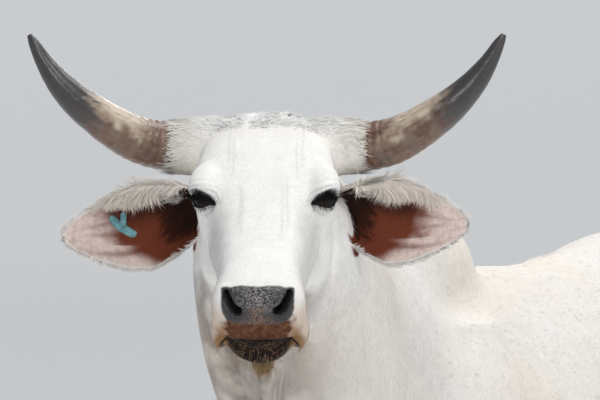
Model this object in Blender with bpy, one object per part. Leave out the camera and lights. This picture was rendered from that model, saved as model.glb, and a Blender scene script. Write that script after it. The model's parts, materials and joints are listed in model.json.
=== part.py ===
"""A life-size Brahman cow that stands still, with its head turned to its left.

Metres, +Z up. The cow faces -Y and its left side is +X. The floor is z = 0, and the origin is
on the floor under the middle of the model.
"""

import math
import random

import bmesh
import bpy
import numpy as np
from mathutils import Matrix, Vector

# Driving dimensions, before the whole cow is moved onto the origin
GAP = 0.0003  # air between two nodes that touch
POLL = Vector((0.027, -1.10, 1.548))  # top of the head between the horns
HEAD_YAW = math.radians(25.8)  # how far the head is turned to the cow's left
FACE_DIP = math.radians(30.0)  # how far the line of the face points below the horizon
HUMP_CENTRE = (0.0, -0.50, 1.285)
HUMP_RADII = (0.085, 0.190, 0.108)
HUMP_LEAN = math.radians(-8.0)
EYE_CENTRE = (0.186, 0.0830, -0.040)  # in the head's frame: forward, left, up
EYE_RADIUS = 0.0205
EYE_LOOK = (0.74, 0.58, 0.36)  # the way the left eye faces
EYE_CORNERS = 18  # the ball and its socket are faceted alike, so that they keep their gap
EYE_RINGS = 10
EYE_TILT = math.radians(9.0)  # the inner corner lies lower than the outer one
EYE_OPENING = (0.0220, 0.0138)  # half length and half height between the lids
LID_THICKNESS = 0.0040
NOSTRIL = (0.466, 0.0330, -0.0240)
MOUTH_LEVEL = -0.0845
MOUTH_DROP = 0.040  # the line runs down round the hanging corners of the upper lip
EAR_ROOT = (0.064, 0.088, -0.127)
EAR_LENGTH = 0.235
EAR_LIE = {1: (7.5, 18.0), -1: (11.5, 6.0)}  # degrees that each ear hangs, and is turned back
TAG_FROM = Vector((0.121, -0.005))  # the tag's ends: along the ear, and up from its axis
TAG_TO = Vector((0.155, 0.028))
TAG_SAG = 0.004  # how far its middle lies below the line between its ends
TAG_WIDTH = 0.014
TAG_THICKNESS = 0.0022
CLAW_SPREAD = 0.0022  # half the cleft between the two halves of a hoof
CORONET_HEIGHT = 0.090  # height of the hoof's upper edge at the front of the leg
CORONET_SLOPE = 0.42
SWITCH_TOP = 0.665
SWITCH_LENGTH = 0.34
SWITCH_CORE = 0.24  # length of the solid core, which the locks cover and pass
# Where a tier of locks starts as a share of the core, their number and their length
SWITCH_TIERS = ((0.02, 6, 0.150), (0.26, 8, 0.170), (0.52, 7, 0.170), (0.76, 6, 0.150))
LOCK_WIDTH = 0.0150
LOCK_THICKNESS = 0.0046
DEWLAP_WAVE = 0.010  # how far the free edge of the dewlap swings from side to side
DEWLAP_WAVES = 6.5
DEWCLAW_HEIGHT = 0.128
DEWCLAW_SPREAD = 0.020
DEWCLAW_RADII = (0.0125, 0.0130, 0.0165)
LEG_SWING_FROM = 0.85  # the stance moves a leg below this height
STANCE = {"fore_left": -0.045, "fore_right": 0.030, "hind_left": 0.035, "hind_right": -0.055}

# Where the flesh is cut into nodes
FOREARM_CUT = 0.580
KNEE_CUT = 0.425
GASKIN_CUT = 0.660
HOCK_CUT = 0.440
NECK_CUT = ((-0.60, 1.33), (-0.84, 0.66))  # places back and heights of a line across the neck
HEAD_CUT = (-0.075, 0.085)  # behind the poll and behind the jaw, in the head's frame

# Mesh sizes
BODY_VOXEL = 0.007
HEAD_VOXEL = 0.004
BODY_BLEND = 0.055  # how far the creases between fused forms are filled
HEAD_BLEND = 0.012
FLESH_TRIANGLES = 5500
HEAD_THINNING = 0.969  # the lower, the more of the triangles go to the head
SHARP_ANGLE = math.radians(50.0)

# Lengthwise forms: place along, top, bottom, half width, level of the widest place,
# roundness above and below it
TORSO = (
    (-0.76, 1.06, 0.76, 0.080, 0.50, 2.0, 2.0),
    (-0.70, 1.15, 0.67, 0.140, 0.45, 2.0, 2.0),
    (-0.60, 1.23, 0.615, 0.182, 0.45, 1.9, 2.0),
    (-0.45, 1.280, 0.600, 0.205, 0.45, 1.75, 2.0),
    (-0.28, 1.283, 0.602, 0.236, 0.45, 1.75, 2.1),
    (-0.05, 1.276, 0.590, 0.274, 0.44, 1.75, 2.2),
    (0.18, 1.284, 0.582, 0.293, 0.44, 1.80, 2.2),
    (0.36, 1.300, 0.615, 0.282, 0.47, 1.85, 2.2),
    (0.50, 1.318, 0.700, 0.258, 0.56, 1.95, 2.1),
    (0.62, 1.325, 0.790, 0.236, 0.62, 2.0, 2.0),
    (0.74, 1.303, 0.890, 0.192, 0.64, 2.0, 2.0),
    (0.82, 1.262, 0.960, 0.138, 0.64, 2.0, 2.0),
    (0.87, 1.210, 1.040, 0.070, 0.60, 2.0, 2.0),
)
SKULL = (
    (-0.045, -0.060, -0.150, 0.050, 0.55, 2.2, 2.0),
    (-0.020, -0.014, -0.180, 0.080, 0.60, 2.6, 2.0),
    (0.015, 0.009, -0.195, 0.094, 0.66, 3.0, 2.0),
    (0.060, 0.012, -0.205, 0.100, 0.72, 3.0, 2.0),
    (0.110, 0.008, -0.216, 0.105, 0.76, 3.0, 2.0),
    (0.155, 0.004, -0.222, 0.106, 0.77, 3.0, 2.0),
    (0.190, -0.002, -0.217, 0.097, 0.75, 2.9, 2.0),
    (0.230, -0.008, -0.206, 0.081, 0.70, 2.8, 2.0),
    (0.275, -0.013, -0.192, 0.073, 0.66, 2.8, 2.0),
    (0.320, -0.017, -0.178, 0.067, 0.62, 2.8, 2.0),
    (0.370, -0.019, -0.154, 0.061, 0.58, 2.8, 2.0),
    (0.420, -0.018, -0.136, 0.058, 0.55, 2.6, 2.0),
    (0.460, -0.024, -0.118, 0.052, 0.55, 2.4, 2.0),
    (0.482, -0.046, -0.098, 0.030, 0.55, 2.2, 2.0),
)
MUZZLE = (
    (0.345, -0.020, -0.104, 0.054, 0.50, 2.5, 2.2),
    (0.385, -0.010, -0.107, 0.061, 0.47, 2.6, 2.3),
    (0.425, -0.002, -0.101, 0.0665, 0.38, 2.8, 2.6),
    (0.455, 0.001, -0.093, 0.068, 0.32, 3.0, 3.0),
    (0.478, -0.004, -0.088, 0.063, 0.34, 3.0, 3.0),
    (0.491, -0.018, -0.080, 0.046, 0.40, 2.8, 2.6),
)
LOWER_LIP = (
    (0.320, -0.100, -0.158, 0.040, 0.55, 2.2, 2.0),
    (0.380, -0.088, -0.151, 0.045, 0.58, 2.4, 2.0),
    (0.430, -0.083, -0.147, 0.048, 0.60, 2.6, 2.0),
    (0.458, -0.084, -0.142, 0.045, 0.60, 2.6, 2.0),
    (0.474, -0.088, -0.132, 0.032, 0.56, 2.4, 2.0),
)
UDDER = (
    (0.42, 0.72, 0.600, 0.045, 0.5, 2.0, 2.0),
    (0.47, 0.76, 0.560, 0.072, 0.5, 2.0, 2.0),
    (0.55, 0.82, 0.545, 0.080, 0.5, 2.0, 2.0),
    (0.63, 0.86, 0.565, 0.070, 0.5, 2.0, 2.0),
    (0.68, 0.88, 0.640, 0.045, 0.5, 2.0, 2.0),
)
# Neck: top (x, y, z), bottom (x, y, z), half width, level, roundness above and below
NECK = (
    (0.000, -0.44, 1.270, 0.000, -0.60, 0.630, 0.162, 0.42, 1.8, 2.0),
    (0.000, -0.60, 1.318, 0.000, -0.775, 0.720, 0.156, 0.42, 1.8, 2.1),
    (0.004, -0.74, 1.384, 0.006, -0.905, 0.850, 0.142, 0.43, 1.8, 2.2),
    (0.010, -0.86, 1.444, 0.014, -1.010, 0.970, 0.136, 0.43, 1.9, 2.4),
    (0.016, -0.97, 1.492, 0.026, -1.090, 1.085, 0.132, 0.44, 2.0, 2.5),
    (0.026, -1.07, 1.512, 0.052, -1.145, 1.186, 0.123, 0.45, 2.0, 2.6),
    (0.046, -1.12, 1.480, 0.080, -1.200, 1.220, 0.102, 0.45, 2.0, 2.6),
)
# Dewlap: root (x, y, z), edge (x, y, z), half thickness
DEWLAP = (
    (0.150, -1.350, 1.235, 0.152, -1.358, 1.200, 0.009),
    (0.118, -1.280, 1.262, 0.124, -1.300, 1.184, 0.011),
    (0.074, -1.180, 1.250, 0.086, -1.222, 1.118, 0.013),
    (0.048, -1.110, 1.170, 0.056, -1.158, 1.030, 0.014),
    (0.028, -1.030, 1.060, 0.030, -1.090, 0.905, 0.015),
    (0.012, -0.925, 0.930, 0.010, -1.000, 0.775, 0.017),
    (0.000, -0.800, 0.780, 0.000, -0.875, 0.640, 0.020),
    (0.000, -0.670, 0.690, 0.000, -0.725, 0.555, 0.022),
    (0.000, -0.540, 0.660, 0.000, -0.550, 0.545, 0.020),
    (0.000, -0.400, 0.650, 0.000, -0.390, 0.570, 0.014),
)
# Legs: height, front, back, place sideways, half width
FORELEG = (
    (1.20, -0.600, -0.420, 0.096, 0.056),
    (1.07, -0.672, -0.385, 0.138, 0.064),
    (0.93, -0.712, -0.365, 0.154, 0.068),
    (0.82, -0.675, -0.362, 0.157, 0.066),
    (0.73, -0.620, -0.392, 0.153, 0.056),
    (0.63, -0.594, -0.440, 0.148, 0.047),
    (0.53, -0.580, -0.474, 0.143, 0.041),
    (0.45, -0.578, -0.486, 0.140, 0.039),
    (0.395, -0.588, -0.486, 0.139, 0.045),
    (0.345, -0.577, -0.489, 0.139, 0.039),
    (0.290, -0.564, -0.500, 0.139, 0.029),
    (0.220, -0.562, -0.502, 0.139, 0.028),
    (0.162, -0.574, -0.490, 0.139, 0.037),
    (0.120, -0.596, -0.512, 0.139, 0.036),
    (0.085, -0.626, -0.532, 0.139, 0.044),
    (0.030, -0.640, -0.555, 0.139, 0.042),
)
HINDLEG = (
    (1.16, 0.44, 0.850, 0.112, 0.092),
    (1.02, 0.41, 0.895, 0.132, 0.100),
    (0.90, 0.42, 0.890, 0.146, 0.094),
    (0.80, 0.455, 0.872, 0.154, 0.082),
    (0.71, 0.515, 0.856, 0.152, 0.066),
    (0.63, 0.600, 0.850, 0.148, 0.050),
    (0.555, 0.680, 0.868, 0.142, 0.037),
    (0.495, 0.728, 0.872, 0.139, 0.040),
    (0.435, 0.752, 0.852, 0.138, 0.038),
    (0.375, 0.764, 0.830, 0.138, 0.029),
    (0.255, 0.760, 0.824, 0.139, 0.027),
    (0.200, 0.752, 0.826, 0.139, 0.031),
    (0.158, 0.738, 0.826, 0.140, 0.038),
    (0.118, 0.712, 0.798, 0.140, 0.036),
    (0.085, 0.684, 0.780, 0.140, 0.044),
    (0.030, 0.665, 0.755, 0.140, 0.042),
)
# Tail: place back, height, radius
TAIL = (
    (0.800, 1.275, 0.030),
    (0.870, 1.262, 0.032),
    (0.915, 1.215, 0.028),
    (0.935, 1.130, 0.023),
    (0.938, 0.980, 0.018),
    (0.935, 0.820, 0.015),
    (0.932, 0.640, 0.013),
)
# Horn, in the head's frame: forward, sideways, up, radius
HORN = (
    (0.022, 0.085, -0.046, 0.0385),
    (0.020, 0.136, -0.044, 0.0385),
    (0.024, 0.180, -0.034, 0.0365),
    (0.030, 0.226, -0.008, 0.0325),
    (0.030, 0.270, 0.027, 0.0275),
    (0.020, 0.309, 0.063, 0.0210),
    (0.004, 0.335, 0.094, 0.0140),
    (-0.012, 0.353, 0.122, 0.0080),
    (-0.018, 0.359, 0.131, 0.0040),
)
COLLAR = (
    (0.022, 0.040, -0.050, 0.052),
    (0.022, 0.085, -0.045, 0.0480),
    (0.020, 0.118, -0.043, 0.0445),
    (0.020, 0.138, -0.043, 0.0420),
)
# Ear: share of the length, width above the axis, width below it, curl in degrees, thickness
EAR = (
    (0.00, 0.028, 0.026, 125.0, 0.0080),
    (0.12, 0.048, 0.040, 105.0, 0.0075),
    (0.25, 0.062, 0.052, 78.0, 0.0065),
    (0.42, 0.070, 0.062, 54.0, 0.0058),
    (0.60, 0.062, 0.055, 42.0, 0.0052),
    (0.78, 0.045, 0.039, 34.0, 0.0046),
    (0.92, 0.026, 0.022, 28.0, 0.0040),
    (1.00, 0.007, 0.006, 22.0, 0.0034),
)

COLOURS = {
    "coat": ((0.86, 0.84, 0.81), 0.75),
    "horn": ((0.16, 0.13, 0.11), 0.35),
    "hoof": ((0.07, 0.06, 0.055), 0.5),
    "eye": ((0.02, 0.015, 0.012), 0.08),
    "tag": ((0.16, 0.42, 0.45), 0.45),
    "switch": ((0.05, 0.045, 0.04), 0.8),
    "udder": ((0.72, 0.56, 0.50), 0.6),
}
SIDES = (1, "left"), (-1, "right")
ALONG_BODY = Matrix(((0, 1, 0, 0), (1, 0, 0, 0), (0, 0, 1, 0), (0, 0, 0, 1)))
TUBE_GUIDE = (0.31, 0.0, 0.95)


# Meshes and objects


def material(name):
    """The shared Principled material of that name."""
    found = bpy.data.materials.get(name)
    if found:
        return found
    colour, roughness = COLOURS[name]
    made = bpy.data.materials.new(name)
    made.use_nodes = True
    shader = made.node_tree.nodes["Principled BSDF"]
    shader.inputs["Base Color"].default_value = (*colour, 1.0)
    shader.inputs["Roughness"].default_value = roughness
    shader.inputs["Metallic"].default_value = 0.0
    return made


def object_from(name, bm, finish="coat"):
    """A linked object that holds a bmesh, with its normals pointing out."""
    bmesh.ops.recalc_face_normals(bm, faces=bm.faces)
    mesh = bpy.data.meshes.new(name)
    bm.to_mesh(mesh)
    bm.free()
    mesh.materials.append(material(finish))
    made = bpy.data.objects.new(name, mesh)
    bpy.context.scene.collection.objects.link(made)
    return made


def object_of(name, form, finish="coat"):
    """A linked object with the points and faces of a form."""
    points, faces = form
    bm = bmesh.new()
    verts = [bm.verts.new(p) for p in points]
    for face in faces:
        bm.faces.new([verts[c] for c in face])
    bmesh.ops.remove_doubles(bm, verts=bm.verts, dist=1e-5)
    return object_from(name, bm, finish)


def discard(obj):
    """Removes an object and its mesh."""
    mesh = obj.data
    bpy.data.objects.remove(obj)
    bpy.data.meshes.remove(mesh)


def baked(obj):
    """The object with the result of its modifiers as its mesh."""
    graph = bpy.context.evaluated_depsgraph_get()
    mesh = bpy.data.meshes.new_from_object(obj.evaluated_get(graph))
    obj.modifiers.clear()
    old = obj.data
    obj.data = mesh
    bpy.data.meshes.remove(old)
    return obj


def copy_of(obj, name):
    """A second object with its own mesh."""
    made = obj.copy()
    made.data = obj.data.copy()
    made.name = name
    bpy.context.scene.collection.objects.link(made)
    return made


def volume_of(faces):
    """The volume inside a closed set of faces."""
    total = 0.0
    for face in faces:
        first, *rest = [v.co for v in face.verts]
        for a, b in zip(rest, rest[1:]):
            total += first.dot(a.cross(b)) / 6.0
    return total


def largest_shell(obj):
    """Keeps the closed surface that holds the most volume."""
    bm = bmesh.new()
    bm.from_mesh(obj.data)
    left = set(bm.verts)
    shells = []
    while left:
        stack = [left.pop()]
        shell = set(stack)
        while stack:
            for edge in stack.pop().link_edges:
                for vert in edge.verts:
                    if vert in left:
                        left.discard(vert)
                        shell.add(vert)
                        stack.append(vert)
        shells.append(shell)
    if len(shells) > 1:
        keep = max(shells, key=lambda s: volume_of({f for v in s for f in v.link_faces}))
        bmesh.ops.delete(bm, geom=[v for v in bm.verts if v not in keep], context="VERTS")
        bm.to_mesh(obj.data)
    bm.free()
    return obj


def boolean(obj, others, operation, solver="EXACT"):
    """Applies one Boolean between a mesh and some closed meshes, which are then removed."""
    tools = bpy.data.collections.new("tools")
    bpy.context.scene.collection.children.link(tools)
    for other in others:
        tools.objects.link(other)
    step = obj.modifiers.new("cut", "BOOLEAN")
    step.operation = operation
    step.solver = solver
    step.operand_type = "COLLECTION"
    step.collection = tools
    baked(obj)
    for other in others:
        discard(other)
    bpy.data.collections.remove(tools)
    return obj


def finished(obj):
    """Takes out the slivers that a Boolean left, splits the faces and shades them smooth."""
    bm = bmesh.new()
    bm.from_mesh(obj.data)
    bmesh.ops.dissolve_degenerate(bm, edges=bm.edges, dist=5e-6)
    bmesh.ops.triangulate(bm, faces=bm.faces)
    bm.to_mesh(obj.data)
    bm.free()
    obj.data.shade_smooth()
    obj.data.set_sharp_from_angle(angle=SHARP_ANGLE)
    return obj


# Lofts


def through(rows, count, key):
    """Rows on a smooth curve through the given ones, evenly spaced by the columns in key."""
    rows = np.array(rows, float)
    step = np.linalg.norm(np.diff(rows[:, key], axis=0), axis=1)
    at = np.concatenate([[0.0], np.cumsum(step)])
    slope = np.diff(rows, axis=0) / step[:, None]
    tangent = np.zeros_like(rows)
    tangent[0], tangent[-1] = slope[0], slope[-1]
    same_way = slope[:-1] * slope[1:] > 0
    size = np.where(same_way, slope[:-1] + slope[1:], 1.0)
    tangent[1:-1] = np.where(same_way, 2 * slope[:-1] * slope[1:] / size, 0.0)
    place = np.linspace(0, at[-1], count)
    span = np.clip(np.searchsorted(at, place, side="right") - 1, 0, len(step) - 1)
    t = ((place - at[span]) / step[span])[:, None]
    length = step[span][:, None]
    return (
        (2 * t**3 - 3 * t**2 + 1) * rows[span]
        + (t**3 - 2 * t**2 + t) * length * tangent[span]
        + (3 * t**2 - 2 * t**3) * rows[span + 1]
        + (t**3 - t**2) * length * tangent[span + 1]
    )


def section(top, bottom, side, half_width, level, over, under, corners):
    """A ring of corners round a body: a superellipse through its top and its bottom."""
    top, bottom, side = np.array(top), np.array(bottom), np.array(side)
    centre = bottom + (top - bottom) * level
    angle = np.arange(corners) * 2 * math.pi / corners
    across, up = np.cos(angle), np.sin(angle)
    power = np.where(up >= 0, over, under)
    sideways = half_width * np.sign(across) * np.abs(across) ** (2 / power)
    reach = np.abs(up) ** (2 / power)
    ring = centre + sideways[:, None] * side
    ring = ring + np.where(up >= 0, reach, 0)[:, None] * (top - centre)
    return ring + np.where(up < 0, reach, 0)[:, None] * (bottom - centre)


def loft(rings):
    """Points and faces of a closed skin over rings of equal count, with a point at each end."""
    rings = np.array(rings)
    count, corners = rings.shape[:2]
    points = [*rings.reshape(-1, 3), rings[0].mean(0), rings[-1].mean(0)]
    first, last = count * corners, count * corners + 1
    faces = []
    for j in range(corners):
        k = (j + 1) % corners
        faces.append((first, k, j))
        faces.append((last, (count - 1) * corners + j, (count - 1) * corners + k))
        for i in range(count - 1):
            here, there = i * corners, (i + 1) * corners
            faces.append((here + j, here + k, there + k, there + j))
    return np.array(points), faces


def profile(rows, count, corners=40):
    """A lengthwise body in its own frame: along, sideways, up."""
    rings = []
    for along, top, bottom, half_width, level, over, under in through(rows, count, [0]):
        ends = (along, 0.0, top), (along, 0.0, bottom), (0.0, 1.0, 0.0)
        rings.append(section(*ends, half_width, level, over, under, corners))
    return loft(rings)


def bent_form(rows, count, corners=40):
    """A body between a top line and a bottom line that both bend in space."""
    rows = through(rows, count, [0, 1, 2, 3, 4, 5])
    ahead = np.gradient((rows[:, 0:3] + rows[:, 3:6]) / 2, axis=0)
    side = np.cross(rows[:, 0:3] - rows[:, 3:6], ahead)
    side /= np.linalg.norm(side, axis=1)[:, None]
    rings = []
    for row, across in zip(rows, side):
        rings.append(section(row[0:3], row[3:6], across, *row[6:10], corners))
    return loft(rings)


def swing(foot, height):
    """How far the stance moves a leg along Y at a height."""
    return STANCE[foot] * max(0.0, 1 - height / LEG_SWING_FROM)


def leg_form(rows, side, foot, count=60, corners=28):
    """A leg on its side of the body, its foot moved along Y by the stance."""
    rings = []
    for height, front, back, sideways, half_width in through(rows, count, [0]):
        move = swing(foot, height)
        ends = (side * sideways, front + move, height), (side * sideways, back + move, height)
        rings.append(section(*ends, (1.0, 0.0, 0.0), half_width, 0.5, 2.1, 2.1, corners))
    return loft(rings)


def tube(path, corners=16):
    """A round body along points with radii: x, y, z, radius."""
    path = np.array(path, float)
    ahead = np.gradient(path[:, :3], axis=0)
    ahead /= np.linalg.norm(ahead, axis=1)[:, None]
    side = np.cross(ahead, TUBE_GUIDE)
    side /= np.linalg.norm(side, axis=1)[:, None]
    up = np.cross(side, ahead)
    angle = np.arange(corners) * 2 * math.pi / corners
    circle = np.cos(angle)[None, :, None] * side[:, None] + np.sin(angle)[None, :, None] * up[:, None]
    return loft(path[:, None, :3] + path[:, None, 3:4] * circle)


def ellipsoid(centre, radii, turn=Matrix.Identity(3), segments=24, rings=14):
    """An ellipsoid with its own axes turned by a matrix."""
    bm = bmesh.new()
    bmesh.ops.create_uvsphere(bm, u_segments=segments, v_segments=rings, radius=1.0)
    reach = turn.to_4x4() @ Matrix.Diagonal((*radii, 1.0))
    bmesh.ops.transform(bm, matrix=Matrix.Translation(centre) @ reach, verts=bm.verts)
    points = np.array([v.co for v in bm.verts])
    faces = [tuple(v.index for v in f.verts) for f in bm.faces]
    bm.free()
    return points, faces


def placed(form, frame):
    """A form moved into the part's frame."""
    points, faces = form
    matrix = np.array(frame)
    return points @ matrix[:3, :3].T + matrix[:3, 3], faces


def joined(forms):
    """Several forms as one."""
    points, faces, start = [], [], 0
    for form_points, form_faces in forms:
        points.append(form_points)
        faces += [tuple(c + start for c in face) for face in form_faces]
        start += len(form_points)
    return np.concatenate(points), faces


def head_frame():
    """The head's frame: forward along the face, left, and up out of the forehead."""
    level = Vector((math.sin(HEAD_YAW), -math.cos(HEAD_YAW), 0.0))
    forward = level * math.cos(FACE_DIP) - Vector((0, 0, math.sin(FACE_DIP)))
    left = Vector((math.cos(HEAD_YAW), math.sin(HEAD_YAW), 0.0))
    axes = Matrix((forward, left, forward.cross(left))).transposed()
    return Matrix.Translation(POLL) @ axes.to_4x4()


def head_plane():
    """The plane that cuts the head off the neck: a point of it, and its normal to the back."""
    frame = head_frame()
    top, bottom = HEAD_CUT
    return frame @ Vector((top, 0.0, 0.0)), frame.to_3x3() @ Vector((-0.25, 0.0, top - bottom))


# Flesh


def head_pair(centre, radii, turn_deg=0.0, lean_deg=0.0):
    """The same ellipsoid on both sides of the head, turned in plan and leaned in profile."""
    forms = []
    for side in (1, -1):
        turn = Matrix.Rotation(math.radians(side * turn_deg), 3, "Z")
        turn = turn @ Matrix.Rotation(math.radians(lean_deg), 3, "Y")
        forms.append(ellipsoid((centre[0], side * centre[1], centre[2]), radii, turn))
    return forms


def mirrored(rows, side):
    """Rows of the head's left side, or the same on its right side."""
    return [(row[0], side * row[1], *row[2:]) for row in rows]


def head_forms():
    """The overlapping forms that make up the head, without ears, horns and eyes."""
    lid = EYE_RADIUS + LID_THICKNESS
    forms = [profile(SKULL, 60), profile(MUZZLE, 30), profile(LOWER_LIP, 20)]
    forms += head_pair((0.150, 0.066, -0.142), (0.098, 0.036, 0.076))  # chewing muscle
    forms += head_pair((0.166, 0.087, -0.022), (0.052, 0.027, 0.026), 6)  # brow
    forms += head_pair(EYE_CENTRE, (lid, lid, lid))
    forms += head_pair((0.262, 0.062, -0.088), (0.075, 0.018, 0.018), -10)  # cheek ridge
    forms += head_pair((0.430, 0.0575, -0.103), (0.034, 0.0135, 0.0265), -4, -8)  # lip lobe
    forms += head_pair((0.462, 0.0440, -0.030), (0.024, 0.018, 0.026), 20)  # nostril wing
    forms += [tube(mirrored(COLLAR, side), 24) for side in (1, -1)]
    return [placed(form, head_frame()) for form in forms]


def neck_forms():
    """The neck, and the loose skin that hangs under it in slow waves."""
    sheet = []
    for row, share in zip(through(DEWLAP, 60, [0, 1, 2]), np.linspace(0, 1, 60)):
        row[3] += DEWLAP_WAVE * math.sin(2 * math.pi * DEWLAP_WAVES * share) * math.sin(math.pi * share)
        sheet.append((*row, 0.5, 2.0, 1.7))
    return [bent_form(NECK, 70), bent_form(sheet, 120, 24)]


def body_forms():
    """The overlapping forms of the trunk, the hump and the legs."""
    lean = Matrix.Rotation(HUMP_LEAN, 3, "X")
    forms = [placed(profile(TORSO, 70), ALONG_BODY), ellipsoid(HUMP_CENTRE, HUMP_RADII, lean)]
    forms.append(ellipsoid((0.0, -0.690, 0.760), (0.125, 0.120, 0.150)))  # brisket
    forms.append(ellipsoid((0.0, 0.130, 0.585), (0.013, 0.120, 0.038)))  # navel fold
    for side, name in SIDES:
        for foot, rows in (("fore_" + name, FORELEG), ("hind_" + name, HINDLEG)):
            forms.append(leg_form(rows, side, foot))
        forms.append(ellipsoid((side * 0.150, -0.655, 0.930), (0.055, 0.055, 0.085)))  # shoulder
        forms.append(ellipsoid((side * 0.175, -0.430, 0.900), (0.058, 0.110, 0.130)))  # triceps
        forms.append(ellipsoid((side * 0.170, 0.530, 1.200), (0.062, 0.110, 0.066)))  # hook
        forms.append(ellipsoid((side * 0.088, 0.825, 1.180), (0.038, 0.060, 0.050)))  # pin
        forms.append(ellipsoid((side * 0.165, 0.690, 1.010), (0.090, 0.180, 0.200)))  # haunch
        forms.append(ellipsoid((side * 0.178, 0.500, 0.845), (0.058, 0.085, 0.105)))  # stifle
    return forms


def dewclaws():
    """The two small claws behind each fetlock."""
    for side, name in SIDES:
        for foot, rows in (("fore_" + name, FORELEG), ("hind_" + name, HINDLEG)):
            height, back, sideways = (rows[-3][k] for k in (0, 2, 3))
            place = back + swing(foot, height) + 0.004
            for across in (DEWCLAW_SPREAD, -DEWCLAW_SPREAD):
                yield ellipsoid((side * sideways + across, place, DEWCLAW_HEIGHT), DEWCLAW_RADII)


def fill_creases(obj, reach, size):
    """Fills the creases between fused forms, and leaves what stands out as it is."""
    mesh = obj.data
    ends = np.empty(len(mesh.edges) * 2, np.int32)
    mesh.edges.foreach_get("vertices", ends)
    ends = ends.reshape(-1, 2)
    start, end = np.concatenate([ends, ends[:, ::-1]]).T
    count = len(mesh.vertices)
    links = np.bincount(start, minlength=count)[:, None]
    points = np.empty(count * 3)
    normals = np.empty(count * 3)
    mesh.vertices.foreach_get("co", points)
    points = points.reshape(-1, 3)

    def pull():
        near = [np.bincount(start, points[end, k], minlength=count) for k in range(3)]
        return np.stack(near, axis=1) / links - points

    for turn in range(int((reach / size) ** 2)):
        if turn % 4 == 0:
            mesh.vertices.foreach_set("co", points.ravel())
            mesh.update()
            mesh.vertices.foreach_get("normal", normals)
            out = normals.reshape(-1, 3)
        rise = (pull() * out).sum(1)
        points = points + out * np.maximum(rise, 0)[:, None]
    for weight in (0.5, -0.52, 0.5, -0.52, 0.4):
        points = points + weight * pull()
    mesh.vertices.foreach_set("co", points.ravel())
    mesh.update()


def fused(name, forms, voxel, reach):
    """One closed, blended skin over overlapping forms."""
    obj = object_of(name, joined(forms))
    step = obj.modifiers.new("fuse", "REMESH")
    step.mode = "VOXEL"
    step.voxel_size = voxel
    largest_shell(baked(obj))
    fill_creases(obj, reach, voxel)
    return obj


def form_of(obj):
    """The points and faces of an object, which is then removed."""
    points = np.array([v.co for v in obj.data.vertices])
    faces = [tuple(p.vertices) for p in obj.data.polygons]
    discard(obj)
    return points, faces


def flesh():
    """The whole skin: the body is blended widely first, and then the head more tightly with it."""
    body = form_of(fused("body", body_forms() + neck_forms(), BODY_VOXEL, BODY_BLEND))
    return fused("flesh", [body, *head_forms(), *dewclaws()], HEAD_VOXEL, HEAD_BLEND)


def thinned(obj, triangles):
    """The object with about that many triangles, more of them on the head."""
    point, normal = head_plane()
    group = obj.vertex_groups.new(name="thin")
    for vert in obj.data.vertices:
        on_head = (vert.co - point).dot(normal) < 0
        group.add([vert.index], HEAD_THINNING if on_head else 1.0, "REPLACE")
    step = obj.modifiers.new("thin", "DECIMATE")
    step.vertex_group = group.name
    step.ratio = triangles / (2 * len(obj.data.vertices))
    step.use_collapse_triangulate = True
    baked(obj)
    obj.vertex_groups.clear()
    return obj


# Cuts


def block(centre, size, turn=Matrix.Identity(3)):
    """A box that cuts."""
    bm = bmesh.new()
    bmesh.ops.create_cube(bm, size=1.0)
    reach = turn.to_4x4() @ Matrix.Diagonal((*size, 1.0))
    bmesh.ops.transform(bm, matrix=Matrix.Translation(centre) @ reach, verts=bm.verts)
    return object_from("block", bm)


def half_space(point, normal, back=0.0, reach=3.0):
    """A great box whose one face lies on the plane, moved back along the plane's normal."""
    normal = Vector(normal).normalized()
    turn = normal.to_track_quat("Z", "Y").to_matrix()
    centre = Vector(point) - normal * (back + reach / 2)
    return block(centre, (reach, reach, reach), turn)


def split(whole, name, point, normal, near=None):
    """Takes what lies behind a plane out of the whole, as a node, with a gap between them.

    A box given as near keeps the cut to one place: its centre and its size.
    """
    piece = copy_of(whole, name)
    for obj, back in ((piece, GAP / 2), (whole, -GAP / 2)):
        tool = half_space(point, normal, back)
        if near:
            boolean(tool, [block(*near)], "INTERSECT")
        boolean(obj, [tool], "INTERSECT" if obj is piece else "DIFFERENCE")
    return largest_shell(piece)


def grown(obj, by):
    """A copy of a closed mesh whose surface stands out by a small distance."""
    made = copy_of(obj, obj.name + "_grown")
    bm = bmesh.new()
    bm.from_mesh(made.data)
    bm.normal_update()
    moves = [(v, v.normal * by * min(2.0, v.calc_shell_factor())) for v in bm.verts]
    for vert, move in moves:
        vert.co += move
    bm.to_mesh(made.data)
    bm.free()
    return made


def fit_to(piece, *neighbours):
    """Cuts a piece off at the surface of what it grows from, with the gap between them."""
    for other in neighbours:
        boolean(piece, [grown(other, GAP)], "DIFFERENCE")
    return largest_shell(piece)


# The head's openings


def eye_frame(side):
    """The eye's axes in the head's frame: along its opening, out of it, and across it."""
    out = Vector((EYE_LOOK[0], side * EYE_LOOK[1], EYE_LOOK[2])).normalized()
    sky = Vector((-math.sin(FACE_DIP), 0.0, math.cos(FACE_DIP)))
    along = out.cross(sky).normalized()
    turn = Matrix.Rotation(-side * EYE_TILT, 3, out)
    return Matrix((turn @ along, out, turn @ along.cross(out))).transposed()


def eye_tools(side):
    """The socket, and the almond between the lids."""
    centre = Vector((EYE_CENTRE[0], side * EYE_CENTRE[1], EYE_CENTRE[2]))
    axes = eye_frame(side)
    radius = EYE_RADIUS + GAP
    socket = ellipsoid(centre, (radius, radius, radius), segments=EYE_CORNERS, rings=EYE_RINGS)
    reach = EYE_OPENING[0], EYE_RADIUS, EYE_OPENING[1]
    return socket, ellipsoid(centre + axes.col[1] * EYE_RADIUS, reach, axes, 18, 12)


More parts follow.
